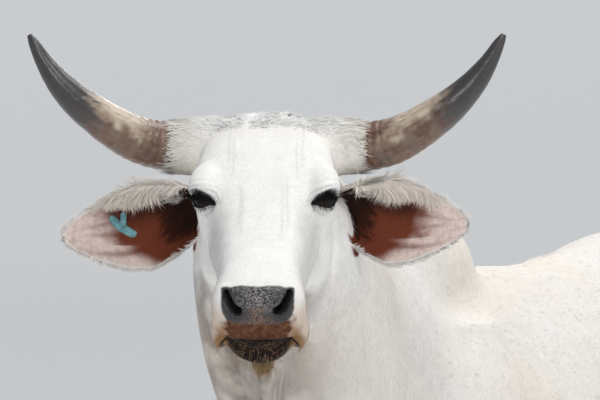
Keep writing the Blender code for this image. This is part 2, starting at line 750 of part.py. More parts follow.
def nostril_tools(side):
    """A slanted comma: a round hole at its lower inner end, and a slit that leads up and out."""
    forward, across, up = NOSTRIL
    spin = Matrix.Rotation(math.radians(side * 24.0), 3, "X")
    hole = ellipsoid((forward + 0.012, side * across, up), (0.028, 0.0080, 0.0120), spin, 12, 8)
    turn = Matrix.Rotation(math.radians(side * 48.0), 3, "X")
    tail = (forward + 0.006, side * (across + 0.006), up + 0.008)
    return [hole, ellipsoid(tail, (0.026, 0.0050, 0.0130), turn, 10, 8)]


def mouth_tool():
    """A thin groove that runs round the muzzle between the lips."""
    rings = []
    for angle in np.linspace(-112, 112, 25):
        turn = math.radians(angle)
        ahead, across = math.cos(turn), math.sin(turn)
        low = MOUTH_LEVEL - MOUTH_DROP * min(1.0, max(0.0, (abs(angle) - 30) / 45)) ** 2
        near = (0.405 + 0.066 * ahead, 0.046 * across)
        far = (0.405 + 0.140 * ahead, 0.120 * across)
        rings.append([(*near, low), (*far, low + 0.0014), (*far, low - 0.0014)])
    return loft(rings)


def open_head(head):
    """Opens the lids, the nostrils and the mouth. The EXACT solver loses the head here."""
    forms = [mouth_tool()]
    for side in (1, -1):
        forms += [*eye_tools(side), *nostril_tools(side)]
    for form in forms:
        tool = object_of("opening", placed(form, head_frame()))
        boolean(head, [tool], "DIFFERENCE", "MANIFOLD")
    return largest_shell(head)


# Separate pieces


def make_horn(side, name, head):
    """A round horn that swings out and up to its tip."""
    rows = through(mirrored(HORN, side), 20, [0, 1, 2])
    return fit_to(object_of(name, placed(tube(rows, 16), head_frame()), "horn"), head)


def make_eye(side, name):
    """The whole eyeball in its socket."""
    centre = (EYE_CENTRE[0], side * EYE_CENTRE[1], EYE_CENTRE[2])
    reach = (EYE_RADIUS, EYE_RADIUS, EYE_RADIUS)
    ball = ellipsoid(centre, reach, segments=EYE_CORNERS, rings=EYE_RINGS)
    return object_of(name, placed(ball, head_frame()), "eye")


def ear_axes(side):
    """The ear's root, and its directions out, up and to the front."""
    frame = head_frame()
    root = np.array(frame @ Vector((EAR_ROOT[0], side * EAR_ROOT[1], EAR_ROOT[2])))
    out = side * np.array(frame.to_3x3().col[1])
    level = np.array((math.sin(HEAD_YAW), -math.cos(HEAD_YAW), 0.0))
    droop, sweep = np.radians(EAR_LIE[side])
    axis = math.cos(droop) * out - math.sin(droop) * np.array((0.0, 0.0, 1.0))
    axis = math.cos(sweep) * axis - math.sin(sweep) * level
    ahead = level - axis * (level @ axis)
    ahead /= np.linalg.norm(ahead)
    up = np.cross(ahead, axis)
    return root, axis, up * np.sign(up[2]), ahead


def ear_shape(t):
    """Widths above and below the ear's axis, its curl and its thickness, at a share of its length."""
    shares, *columns = zip(*EAR)
    return [float(np.interp(t, shares, column)) for column in columns]


def ear_point(side, t, v, lift):
    """A point of the ear: t along it, v from its lower edge to its upper, lift off its middle."""
    root, axis, up, ahead = ear_axes(side)
    above, below, curl, _ = ear_shape(t)
    curl = math.radians(curl)
    bend = (above if v > 0 else below) / math.sin(min(curl, math.pi / 2))
    angle = v * curl
    normal = math.cos(angle) * ahead - math.sin(angle) * up
    hollow = math.sin(angle) * up + (1 - math.cos(angle)) * ahead
    sag = -0.012 * math.sin(math.pi * t) * up
    return root + axis * EAR_LENGTH * t + sag + bend * hollow + normal * lift


def sheet_between(front, back):
    """A closed thin sheet between two grids of points."""
    rows, columns = front.shape[:2]
    points = np.concatenate([front.reshape(-1, 3), back.reshape(-1, 3)])
    under = rows * columns
    faces = []
    for i in range(rows - 1):
        for j in range(columns - 1):
            a, b = i * columns + j, (i + 1) * columns + j
            for start in (0, under):
                faces.append((start + a, start + b, start + b + 1, start + a + 1))
    rim = [i * columns for i in range(rows)]
    rim += [(rows - 1) * columns + j for j in range(1, columns)]
    rim += [i * columns + columns - 1 for i in range(rows - 2, -1, -1)]
    rim += list(range(columns - 2, 0, -1))
    for a, b in zip(rim, rim[1:] + rim[:1]):
        faces.append((a, b, b + under, a + under))
    return points, faces


def make_ear(side, name, head, along=16, across=12):
    """A cupped leaf, open to the front."""
    front, back = [], []
    for t in np.linspace(0, 1, along):
        half = ear_shape(t)[3] / 2
        edge = np.linspace(-1, 1, across)
        front.append([ear_point(side, t, v, half * (1 - 0.6 * v**6)) for v in edge])
        back.append([ear_point(side, t, v, -half * (1 - 0.6 * v**6)) for v in edge])
    form = sheet_between(np.array(front), np.array(back))
    return fit_to(object_of(name, form), head)


def make_tag(side):
    """A thin curved bar that lies aslant against the front of the ear."""
    lower, upper = [], []
    across = (TAG_TO - TAG_FROM).normalized().orthogonal()
    for share in np.linspace(0, 1, 7):
        under, over = [], []
        for edge in (-1, 0, 1):
            narrow = 1 - 0.25 * abs(2 * share - 1) ** 6
            aside = edge * narrow * TAG_WIDTH / 2 - TAG_SAG * (1 - (2 * share - 1) ** 2)
            along, up = TAG_FROM.lerp(TAG_TO, share) + across * aside
            t = along / EAR_LENGTH
            above, below, _, thick = ear_shape(t)
            v = up / (above if up > 0 else below)
            clear = thick / 2 + GAP + 0.0004
            under.append(ear_point(side, t, v, clear))
            over.append(ear_point(side, t, v, clear + TAG_THICKNESS))
        lower.append(under)
        upper.append(over)
    return object_of("ear_tag", sheet_between(np.array(upper), np.array(lower)), "tag")


def coronet(front):
    """The plane at the top of a hoof: a point of it and its upward normal."""
    return (0.0, front, CORONET_HEIGHT), (0.0, CORONET_SLOPE, 1.0)


def make_claw(name, foot, half, front, back):
    """One half of a hoof, from the slanted coronet down to its flat sole."""
    middle, length = (front + back) / 2, back - front
    rings = []
    for share, forward, reach, width in (
        (0.0, 0.004, 0.90, 0.0205),
        (0.35, 0.016, 1.00, 0.0235),
        (0.85, 0.034, 1.14, 0.0265),
        (1.0, 0.038, 1.12, 0.0255),
    ):
        ring = []
        for k in range(16):
            angle = 2 * math.pi * k / 16
            toe = 1 - 0.24 * max(0.0, math.sin(angle))
            across = width * math.copysign(abs(math.cos(angle)) ** 0.8, math.cos(angle)) * toe
            y = middle - forward - math.sin(angle) * length * reach / 2
            top = CORONET_HEIGHT - CORONET_SLOPE * (y - front) - GAP
            x = foot + half * (CLAW_SPREAD + width * 0.98) + across
            ring.append((x, y, top * (1 - share)))
        rings.append(ring)
    return object_of(name, loft(rings), "hoof")


def make_tail(torso):
    """The thin tail, from the rump to where the brush begins."""
    rows = through(TAIL, 22, [0, 1])
    path = [(0.0, back, height, radius) for back, height, radius in rows]
    return fit_to(object_of("tail", tube(path, 10)), torso)


def lock(path, width, thickness, side):
    """A flat lock along a path, widest a third of the way down and pointed at its tip."""
    path = np.array(path)
    ahead = np.gradient(path, axis=0)
    ahead /= np.linalg.norm(ahead, axis=1)[:, None]
    rings = []
    for share, point, way in zip(np.linspace(0, 1, len(path)), path, ahead):
        full = 0.10 + 0.90 * math.sin(math.pi * min(1.0, 0.22 + 0.80 * share)) ** 0.8
        across = side * width / 2 * full
        out = np.cross(way, side) * thickness / 2 * full
        rings.append([point + across, point + out, point - across, point - out])
    return loft(rings)


def switch_locks():
    """Tiers of locks that leave the core, lie over one another and end at different lengths."""
    draw = random.Random(7)
    back = TAIL[-1][0]
    for start, count, length in SWITCH_TIERS:
        for k in range(count):
            angle = 2 * math.pi * (k + draw.uniform(-0.2, 0.2)) / count + start * 9
            out = np.array((math.cos(angle), math.sin(angle), 0.0))
            side = np.array((-math.sin(angle), math.cos(angle), 0.0))
            drop = start + draw.uniform(-0.03, 0.03)
            reach = length * draw.uniform(0.85, 1.15)
            reach = min(reach, SWITCH_LENGTH - SWITCH_CORE * drop)
            spread = draw.uniform(0.8, 1.3)
            path = []
            for t in np.linspace(0, 1, 6):
                fall = SWITCH_TOP - 0.012 - SWITCH_CORE * drop - reach * t
                stand = 0.004 + 0.036 * spread * math.sin(1.9 * t) * (1 - 0.45 * start)
                sway = 0.010 * math.sin(2.6 * t + k)
                path.append(np.array((0.0, back, fall)) + out * stand + side * sway * t)
            yield lock(path, LOCK_WIDTH * draw.uniform(0.85, 1.2), LOCK_THICKNESS, side)


def make_switch(tail):
    """The brush of long hair at the end of the tail: a slim core and the locks over it."""
    back = TAIL[-1][0]
    core = []
    for t in np.linspace(0.0, 1.0, 9):
        thick = 0.0105 + 0.0085 * math.sin(math.pi * min(1.0, 1.15 * t)) - 0.0060 * t
        core.append((0.0, back, SWITCH_TOP - SWITCH_CORE * t, thick))
    brush = object_of("tail_switch", tube(core, 10), "switch")
    locks = [object_of("lock", form, "switch") for form in switch_locks()]
    return fit_to(largest_shell(boolean(brush, locks, "UNION", "MANIFOLD")), tail)


def make_udder(*neighbours):
    """The bag and its four teats."""
    forms = [placed(profile(UDDER, 11, 14), ALONG_BODY)]
    for x in (0.040, -0.040):
        for y in (0.505, 0.590):
            path = [(x, y, 0.585 - 0.085 * t, 0.012 - 0.004 * t**2) for t in np.linspace(0, 1, 5)]
            forms.append(tube(path, 6))
    bag = object_of("udder", forms[0], "udder")
    boolean(bag, [object_of("teat", form, "udder") for form in forms[1:]], "UNION")
    return fit_to(bag, *neighbours)


def make_feet(body):
    """Cuts the legs out of the body, and sets the hooves under them."""
    legs = []
    for end, rows, top, middle, upper, lower in (
        ("fore", FORELEG, FOREARM_CUT, KNEE_CUT, "forearm", "shank"),
        ("hind", HINDLEG, GASKIN_CUT, HOCK_CUT, "gaskin", "shank"),
    ):
        for side, name in SIDES:
            foot_name = f"{end}_{name}"
            y = -0.6 if end == "fore" else 0.75
            near = (side * 0.20, y, 0.35), (0.28, 0.60, 0.90)
            leg = split(body, f"{foot_name}_{upper}", (0, 0, top), (0, 0, 1), near)
            shank = split(leg, f"{foot_name}_{lower}", (0, 0, middle), (0, 0, 1))
            move = swing(foot_name, rows[-2][0])
            front, back, sideways = (rows[-2][k] for k in (1, 2, 3))
            boolean(shank, [half_space(*coronet(front + move))], "DIFFERENCE")
            for half, which in ((side, "outer"), (-side, "inner")):
                claw = f"{foot_name}_claw_{which}"
                make_claw(claw, side * sideways, half, front + move, back + move)
            legs += [leg, largest_shell(shank)]
    return legs


def centre_on_origin():
    """Hangs every node on an empty that sets the origin on the floor under the cow's middle."""
    nodes = list(bpy.data.objects)
    corners = np.array([v.co for obj in nodes for v in obj.data.vertices])
    middle = (corners.min(0) + corners.max(0)) / 2
    stand = bpy.data.objects.new("stand", None)
    bpy.context.scene.collection.objects.link(stand)
    stand.location = (-middle[0], -middle[1], 0.0)
    for obj in nodes:
        obj.parent = stand


def main():
    for obj in list(bpy.data.objects):
        bpy.data.objects.remove(obj)
    body = thinned(flesh(), FLESH_TRIANGLES)
    body.name = "torso"
    head = open_head(split(body, "head", *head_plane()))
    (back, high), (front, low) = NECK_CUT
    split(body, "neck", (0.0, back, high), (0.0, high - low, front - back))
    legs = make_feet(body)
    for side, name in SIDES:
        make_horn(side, "horn_" + name, head)
        make_eye(side, "eye_" + name)
        make_ear(side, "ear_" + name, head)
    make_tag(-1)
    tail = make_tail(body)
    make_switch(tail)
    make_udder(body, *legs)
    for obj in bpy.data.objects:
        finished(obj)
    centre_on_origin()


if __name__ == "__main__":
    main()
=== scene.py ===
"""The looks of a life-size Brahman cow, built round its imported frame.

Metres, +Z up. The flesh is modelled again, finer, from the same rows as the solids, and one skin
takes the place of every node of flesh. The rows are in the design's own frame, in which the cow
faces -Y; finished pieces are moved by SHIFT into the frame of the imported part.
"""

import itertools
import json
import math

import bmesh
import bpy
import numpy as np
from mathutils import Matrix, Vector
from mathutils.bvhtree import BVHTree

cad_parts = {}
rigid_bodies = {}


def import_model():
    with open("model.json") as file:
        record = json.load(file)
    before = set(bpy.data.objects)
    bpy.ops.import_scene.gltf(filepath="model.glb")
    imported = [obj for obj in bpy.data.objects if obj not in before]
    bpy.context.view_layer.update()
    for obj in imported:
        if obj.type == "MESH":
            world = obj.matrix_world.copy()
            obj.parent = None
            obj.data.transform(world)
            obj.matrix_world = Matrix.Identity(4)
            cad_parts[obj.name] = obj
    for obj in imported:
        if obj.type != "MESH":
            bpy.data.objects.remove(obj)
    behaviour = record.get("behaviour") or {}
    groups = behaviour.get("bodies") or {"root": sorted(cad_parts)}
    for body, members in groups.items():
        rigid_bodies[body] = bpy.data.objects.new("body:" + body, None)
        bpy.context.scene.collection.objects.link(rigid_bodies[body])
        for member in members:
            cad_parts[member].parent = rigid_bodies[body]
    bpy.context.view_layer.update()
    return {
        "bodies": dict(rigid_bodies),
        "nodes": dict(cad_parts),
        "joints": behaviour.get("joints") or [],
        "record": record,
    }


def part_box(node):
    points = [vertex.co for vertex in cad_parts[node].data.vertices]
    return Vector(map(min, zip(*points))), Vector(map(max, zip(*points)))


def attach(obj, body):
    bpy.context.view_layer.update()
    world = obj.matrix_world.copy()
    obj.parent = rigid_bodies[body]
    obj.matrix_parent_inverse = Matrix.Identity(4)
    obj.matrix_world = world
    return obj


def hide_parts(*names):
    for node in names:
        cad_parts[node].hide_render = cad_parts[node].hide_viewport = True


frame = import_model()

# Driving dimensions, as in the solids
POLL = Vector((0.027, -1.10, 1.548))  # top of the head between the horns
HEAD_YAW = math.radians(25.8)
FACE_DIP = math.radians(30.0)
HUMP_CENTRE = (0.0, -0.50, 1.285)
HUMP_RADII = (0.085, 0.190, 0.108)
HUMP_LEAN = math.radians(-8.0)
EYE_CENTRE = (0.186, 0.0830, -0.040)  # in the head's frame: forward, left, up
EYE_RADIUS = 0.0205
EYE_LOOK = (0.74, 0.58, 0.36)
EYE_TILT = math.radians(9.0)
LID_THICKNESS = 0.0040
MOUTH_LEVEL = -0.0845
LINE_DROP = 0.050  # the line runs down round the hanging corners of the upper lip
EAR_ROOT = (0.064, 0.088, -0.127)
EAR_LENGTH = 0.235
EAR_LIE = {1: (7.5, 18.0), -1: (11.5, 6.0)}
TAG_FROM = Vector((0.121, -0.005))
TAG_TO = Vector((0.155, 0.028))
TAG_SAG = 0.004
TAG_WIDTH = 0.014
TAB_FROM = Vector((0.1395, 0.0080))  # the tag's upright tab
TAB_TO = Vector((0.1325, 0.0310))
TAB_WIDTH = 0.0095
TAG_THICKNESS = 0.0022
CLAW_SPREAD = 0.0022
CORONET_HEIGHT = 0.090
CORONET_SLOPE = 0.42
SWITCH_TOP = 0.665
SWITCH_LENGTH = 0.34
DEWLAP_WAVE = 0.010
DEWLAP_WAVES = 6.5
DEWCLAW_HEIGHT = 0.128
DEWCLAW_SPREAD = 0.020
DEWCLAW_RADII = (0.0125, 0.0130, 0.0165)
LEG_SWING_FROM = 0.85
STANCE = {"fore_left": -0.045, "fore_right": 0.030, "hind_left": 0.035, "hind_right": -0.055}
JOIN_PLANE = (0.0, -0.60, 1.33), (0.0, 0.67, -0.24)  # where the fine skin meets the coarser one

# Looks
COAT_DEPTH = 0.0015  # the skin lies this far inside the solids
BODY_VOXEL = 0.006
HEAD_VOXEL = 0.0034
BODY_BLEND = 0.055
HEAD_BLEND = 0.010
EYE_HALF = 0.0165  # half the length of the opening between the lids
UPPER_LID = 0.0080
LOWER_LID = 0.0068
LID_TURN = math.radians(-13.0)  # the inner corner hangs below the outer one
WHITE = (0.80, 0.775, 0.735)
CREAM = (0.80, 0.735, 0.64)
FACE_WHITE = (0.86, 0.85, 0.83)
GREY = (0.46, 0.45, 0.44)
THROAT_BROWN_AND_SHADE = (0.14, 0.085, 0.058)
LEG_GREY = (0.52, 0.49, 0.46)
SPECK = (0.30, 0.24, 0.18)
BLACK = (0.010, 0.009, 0.009)
NOSE = (0.017, 0.015, 0.017)
NOSE_TAN = (0.22, 0.112, 0.065)
NOSE_SHEEN = (0.34, 0.31, 0.31)
LIP = (0.085, 0.030, 0.013)
LIP_DEEP = (0.038, 0.014, 0.008)
LIP_PALE = (0.44, 0.27, 0.155)
FLEW = (0.27, 0.150, 0.062)
LIP_DARK = (0.008, 0.004, 0.0025)
LIP_SPECK = (0.17, 0.085, 0.045)
EAR_RED = (0.155, 0.038, 0.018)
EAR_DARK = (0.020, 0.008, 0.006)
EAR_PINK = (0.76, 0.62, 0.570)
EAR_CREAM = (0.72, 0.58, 0.46)
UDDER_PINK = (0.62, 0.40, 0.33)
BAKE_PATCH = 0.003
SWITCH_BLACK = (0.020, 0.017, 0.015)
HORN_BROWN = (0.105, 0.049, 0.031)
HORN_CREAM = (0.36, 0.25, 0.175)
HORN_PALE = (0.66, 0.56, 0.44)
HORN_BLACK = (0.046, 0.042, 0.043)
HORN_SHEEN = (0.085, 0.065, 0.055)
EYE_WHITE = (0.16, 0.10, 0.08)
IRIS = (0.012, 0.006, 0.004)
IRIS_PALE = (0.045, 0.020, 0.010)
HOOF = (0.030, 0.027, 0.025)
HOOF_PALE = (0.095, 0.080, 0.068)
TEAL = (0.17, 0.36, 0.39)
TEAL_DARK = (0.045, 0.20, 0.24)
DIRT = (0.16, 0.12, 0.085)
CAMERA_TURN = math.radians(27.0)  # the camera stands this far round to the cow's left
CAMERA_DISTANCE = 4.0
CAMERA_ASIDE = 0.05
CAMERA_HEIGHT = 1.51
CAMERA_PITCH = math.radians(1.3)
CAMERA_LENS = 156.5

# The cow's rows, as in the solids

# Lengthwise forms: place along, top, bottom, half width, level of the widest place,
# roundness above and below it
TORSO = (
    (-0.76, 1.06, 0.76, 0.080, 0.50, 2.0, 2.0),
    (-0.70, 1.15, 0.67, 0.140, 0.45, 2.0, 2.0),
    (-0.60, 1.23, 0.615, 0.182, 0.45, 1.9, 2.0),
    (-0.45, 1.280, 0.600, 0.205, 0.45, 1.75, 2.0),
    (-0.28, 1.283, 0.602, 0.236, 0.45, 1.75, 2.1),
    (-0.05, 1.276, 0.590, 0.274, 0.44, 1.75, 2.2),
    (0.18, 1.284, 0.582, 0.293, 0.44, 1.80, 2.2),
    (0.36, 1.300, 0.615, 0.282, 0.47, 1.85, 2.2),
    (0.50, 1.318, 0.700, 0.258, 0.56, 1.95, 2.1),
    (0.62, 1.325, 0.790, 0.236, 0.62, 2.0, 2.0),
    (0.74, 1.303, 0.890, 0.192, 0.64, 2.0, 2.0),
    (0.82, 1.262, 0.960, 0.138, 0.64, 2.0, 2.0),
    (0.87, 1.210, 1.040, 0.070, 0.60, 2.0, 2.0),
)
SKULL = (
    (-0.045, -0.060, -0.150, 0.050, 0.55, 2.2, 2.0),
    (-0.020, -0.014, -0.180, 0.080, 0.60, 2.6, 2.0),
    (0.015, 0.009, -0.195, 0.094, 0.66, 3.0, 2.0),
    (0.060, 0.012, -0.205, 0.100, 0.72, 3.0, 2.0),
    (0.110, 0.008, -0.216, 0.105, 0.76, 3.0, 2.0),
    (0.155, 0.004, -0.222, 0.106, 0.77, 3.0, 2.0),
    (0.190, -0.002, -0.217, 0.097, 0.75, 2.9, 2.0),
    (0.230, -0.008, -0.206, 0.081, 0.70, 2.8, 2.0),
    (0.275, -0.013, -0.192, 0.073, 0.66, 2.8, 2.0),
    (0.320, -0.017, -0.178, 0.067, 0.62, 2.8, 2.0),
    (0.370, -0.019, -0.154, 0.061, 0.58, 2.8, 2.0),
    (0.420, -0.018, -0.136, 0.058, 0.55, 2.6, 2.0),
    (0.460, -0.024, -0.118, 0.052, 0.55, 2.4, 2.0),
    (0.482, -0.046, -0.098, 0.030, 0.55, 2.2, 2.0),
)
MUZZLE = (
    (0.345, -0.020, -0.104, 0.054, 0.50, 2.5, 2.2),
    (0.385, -0.010, -0.107, 0.061, 0.47, 2.6, 2.3),
    (0.425, -0.002, -0.101, 0.0665, 0.38, 2.8, 2.6),
    (0.455, 0.001, -0.093, 0.068, 0.32, 3.0, 3.0),
    (0.478, -0.004, -0.088, 0.063, 0.34, 3.0, 3.0),
    (0.491, -0.018, -0.080, 0.046, 0.40, 2.8, 2.6),
)
LOWER_LIP = (
    (0.320, -0.100, -0.158, 0.040, 0.55, 2.2, 2.0),
    (0.380, -0.088, -0.151, 0.045, 0.58, 2.4, 2.0),
    (0.430, -0.083, -0.147, 0.048, 0.60, 2.6, 2.0),
    (0.458, -0.084, -0.142, 0.045, 0.60, 2.6, 2.0),
    (0.474, -0.088, -0.132, 0.032, 0.56, 2.4, 2.0),
)
UDDER = (
    (0.42, 0.72, 0.600, 0.045, 0.5, 2.0, 2.0),
    (0.47, 0.76, 0.560, 0.072, 0.5, 2.0, 2.0),
    (0.55, 0.82, 0.545, 0.080, 0.5, 2.0, 2.0),
    (0.63, 0.86, 0.565, 0.070, 0.5, 2.0, 2.0),
    (0.68, 0.88, 0.640, 0.045, 0.5, 2.0, 2.0),
)
# Neck: top (x, y, z), bottom (x, y, z), half width, level, roundness above and below
NECK = (
    (0.000, -0.44, 1.270, 0.000, -0.60, 0.630, 0.162, 0.42, 1.8, 2.0),
    (0.000, -0.60, 1.318, 0.000, -0.775, 0.720, 0.156, 0.42, 1.8, 2.1),
    (0.004, -0.74, 1.384, 0.006, -0.905, 0.850, 0.142, 0.43, 1.8, 2.2),
    (0.010, -0.86, 1.444, 0.014, -1.010, 0.970, 0.136, 0.43, 1.9, 2.4),
    (0.016, -0.97, 1.492, 0.026, -1.090, 1.085, 0.132, 0.44, 2.0, 2.5),
    (0.026, -1.07, 1.512, 0.052, -1.145, 1.186, 0.123, 0.45, 2.0, 2.6),
    (0.046, -1.12, 1.480, 0.080, -1.200, 1.220, 0.102, 0.45, 2.0, 2.6),
)
# Dewlap: root (x, y, z), edge (x, y, z), half thickness
DEWLAP = (
    (0.150, -1.350, 1.235, 0.152, -1.358, 1.200, 0.009),
    (0.118, -1.280, 1.262, 0.124, -1.300, 1.184, 0.011),
    (0.074, -1.180, 1.250, 0.086, -1.222, 1.118, 0.013),
    (0.048, -1.110, 1.170, 0.056, -1.158, 1.030, 0.014),
    (0.028, -1.030, 1.060, 0.030, -1.090, 0.905, 0.015),
    (0.012, -0.925, 0.930, 0.010, -1.000, 0.775, 0.017),
    (0.000, -0.800, 0.780, 0.000, -0.875, 0.640, 0.020),
    (0.000, -0.670, 0.690, 0.000, -0.725, 0.555, 0.022),
    (0.000, -0.540, 0.660, 0.000, -0.550, 0.545, 0.020),
    (0.000, -0.400, 0.650, 0.000, -0.390, 0.570, 0.014),
)
# Legs: height, front, back, place sideways, half width
FORELEG = (
    (1.20, -0.600, -0.420, 0.096, 0.056),
    (1.07, -0.672, -0.385, 0.138, 0.064),
    (0.93, -0.712, -0.365, 0.154, 0.068),
    (0.82, -0.675, -0.362, 0.157, 0.066),
    (0.73, -0.620, -0.392, 0.153, 0.056),
    (0.63, -0.594, -0.440, 0.148, 0.047),
    (0.53, -0.580, -0.474, 0.143, 0.041),
    (0.45, -0.578, -0.486, 0.140, 0.039),
    (0.395, -0.588, -0.486, 0.139, 0.045),
    (0.345, -0.577, -0.489, 0.139, 0.039),
    (0.290, -0.564, -0.500, 0.139, 0.029),
    (0.220, -0.562, -0.502, 0.139, 0.028),
    (0.162, -0.574, -0.490, 0.139, 0.037),
    (0.120, -0.596, -0.512, 0.139, 0.036),
    (0.085, -0.626, -0.532, 0.139, 0.044),
    (0.030, -0.640, -0.555, 0.139, 0.042),
)
HINDLEG = (
    (1.16, 0.44, 0.850, 0.112, 0.092),
    (1.02, 0.41, 0.895, 0.132, 0.100),
    (0.90, 0.42, 0.890, 0.146, 0.094),
    (0.80, 0.455, 0.872, 0.154, 0.082),
    (0.71, 0.515, 0.856, 0.152, 0.066),
    (0.63, 0.600, 0.850, 0.148, 0.050),
    (0.555, 0.680, 0.868, 0.142, 0.037),
    (0.495, 0.728, 0.872, 0.139, 0.040),
    (0.435, 0.752, 0.852, 0.138, 0.038),
    (0.375, 0.764, 0.830, 0.138, 0.029),
    (0.255, 0.760, 0.824, 0.139, 0.027),
    (0.200, 0.752, 0.826, 0.139, 0.031),
    (0.158, 0.738, 0.826, 0.140, 0.038),
    (0.118, 0.712, 0.798, 0.140, 0.036),
    (0.085, 0.684, 0.780, 0.140, 0.044),
    (0.030, 0.665, 0.755, 0.140, 0.042),
)
# Tail: place back, height, radius
TAIL = (
    (0.800, 1.275, 0.030),
    (0.870, 1.262, 0.032),
    (0.915, 1.215, 0.028),
    (0.935, 1.130, 0.023),
    (0.938, 0.980, 0.018),
    (0.935, 0.820, 0.015),
    (0.932, 0.640, 0.013),
)
# Horn, in the head's frame: forward, sideways, up, radius
HORN = (
    (0.022, 0.085, -0.046, 0.0385),
    (0.020, 0.136, -0.044, 0.0385),
    (0.024, 0.180, -0.034, 0.0365),
    (0.030, 0.226, -0.008, 0.0325),
    (0.030, 0.270, 0.027, 0.0275),
    (0.020, 0.309, 0.063, 0.0210),
    (0.004, 0.335, 0.094, 0.0140),
    (-0.012, 0.353, 0.122, 0.0080),
    (-0.018, 0.359, 0.131, 0.0040),
)
COLLAR = (
    (0.022, 0.040, -0.050, 0.052),
    (0.022, 0.085, -0.045, 0.0480),
    (0.020, 0.118, -0.043, 0.0445),
    (0.020, 0.138, -0.043, 0.0420),
)
# Ear: share of the length, width above the axis, width below it, curl in degrees, thickness
EAR = (
    (0.00, 0.028, 0.026, 125.0, 0.0080),
    (0.12, 0.048, 0.040, 105.0, 0.0075),
    (0.25, 0.062, 0.052, 78.0, 0.0065),
    (0.42, 0.070, 0.062, 54.0, 0.0058),
    (0.60, 0.062, 0.055, 42.0, 0.0052),
    (0.78, 0.045, 0.039, 34.0, 0.0046),
    (0.92, 0.026, 0.022, 28.0, 0.0040),
    (1.00, 0.007, 0.006, 22.0, 0.0034),
)

SIDES = (1, "left"), (-1, "right")
ALONG_BODY = Matrix(((0, 1, 0, 0), (1, 0, 0, 0), (0, 0, 1, 0), (0, 0, 0, 1)))
TUBE_GUIDE = (0.31, 0.0, 0.95)

# Claw: share of the way down, how far forward, length against the sole's, half width
CLAW = (
    (0.00, 0.004, 0.90, 0.0205),
    (0.35, 0.016, 1.00, 0.0235),
    (0.85, 0.034, 1.14, 0.0265),
    (1.00, 0.038, 1.12, 0.0255),
)


# Meshes and objects


def object_of(name, form):
    """A linked object with the points and faces of a form, its normals pointing out."""
    points, faces = form
    mesh = bpy.data.meshes.new(name)
    mesh.from_pydata([tuple(p) for p in points], [], faces)
    bm = bmesh.new()
    bm.from_mesh(mesh)
    bmesh.ops.remove_doubles(bm, verts=bm.verts, dist=1e-5)
    bmesh.ops.recalc_face_normals(bm, faces=bm.faces)
    bm.to_mesh(mesh)
    bm.free()
    made = bpy.data.objects.new(name, mesh)
    bpy.context.scene.collection.objects.link(made)
    return made


def discard(obj):
    """Removes an object and its mesh."""
    mesh = obj.data
    bpy.data.objects.remove(obj)
    bpy.data.meshes.remove(mesh)


def baked(obj):
    """The object with the result of its modifiers as its mesh."""
    graph = bpy.context.evaluated_depsgraph_get()
    mesh = bpy.data.meshes.new_from_object(obj.evaluated_get(graph))
    obj.modifiers.clear()
    old = obj.data
    obj.data = mesh
    bpy.data.meshes.remove(old)
    return obj


def copy_of(obj, name):
    """A second object with its own mesh."""
    made = obj.copy()
    made.data = obj.data.copy()
    made.name = name
    bpy.context.scene.collection.objects.link(made)
    return made


def volume_of(faces):
    """The volume inside a closed set of faces."""
    total = 0.0
    for face in faces:
        first, *rest = [v.co for v in face.verts]
        for a, b in zip(rest, rest[1:]):
            total += first.dot(a.cross(b)) / 6.0
    return total


def largest_shell(obj):
    """Keeps the closed surface that holds the most volume."""
    bm = bmesh.new()
    bm.from_mesh(obj.data)
    left = set(bm.verts)
    shells = []
    while left:
        stack = [left.pop()]
        shell = set(stack)
        while stack:
            for edge in stack.pop().link_edges:
                for vert in edge.verts:
                    if vert in left:
                        left.discard(vert)
                        shell.add(vert)
                        stack.append(vert)
        shells.append(shell)
    if len(shells) > 1:
        keep = max(shells, key=lambda s: volume_of({f for v in s for f in v.link_faces}))
        bmesh.ops.delete(bm, geom=[v for v in bm.verts if v not in keep], context="VERTS")
        bm.to_mesh(obj.data)
    bm.free()
    return obj


def boolean(obj, others, operation, solver="EXACT"):
    """Applies one Boolean between a mesh and some closed meshes, which are then removed."""
    tools = bpy.data.collections.new("tools")
    bpy.context.scene.collection.children.link(tools)
    for other in others:
        tools.objects.link(other)
    step = obj.modifiers.new("cut", "BOOLEAN")
    step.operation = operation
    step.solver = solver
    step.operand_type = "COLLECTION"
    step.collection = tools
    baked(obj)
    for other in others:
        discard(other)
    bpy.data.collections.remove(tools)
    return obj


# Lofts


def through(rows, count, key):
    """Rows on a smooth curve through the given ones, evenly spaced by the columns in key."""
    rows = np.array(rows, float)
    step = np.linalg.norm(np.diff(rows[:, key], axis=0), axis=1)
    at = np.concatenate([[0.0], np.cumsum(step)])
    slope = np.diff(rows, axis=0) / step[:, None]
    tangent = np.zeros_like(rows)
    tangent[0], tangent[-1] = slope[0], slope[-1]
    same_way = slope[:-1] * slope[1:] > 0
    size = np.where(same_way, slope[:-1] + slope[1:], 1.0)
    tangent[1:-1] = np.where(same_way, 2 * slope[:-1] * slope[1:] / size, 0.0)
    place = np.linspace(0, at[-1], count)
    span = np.clip(np.searchsorted(at, place, side="right") - 1, 0, len(step) - 1)
    t = ((place - at[span]) / step[span])[:, None]
    length = step[span][:, None]
    return (
        (2 * t**3 - 3 * t**2 + 1) * rows[span]
        + (t**3 - 2 * t**2 + t) * length * tangent[span]
        + (3 * t**2 - 2 * t**3) * rows[span + 1]
        + (t**3 - t**2) * length * tangent[span + 1]
    )


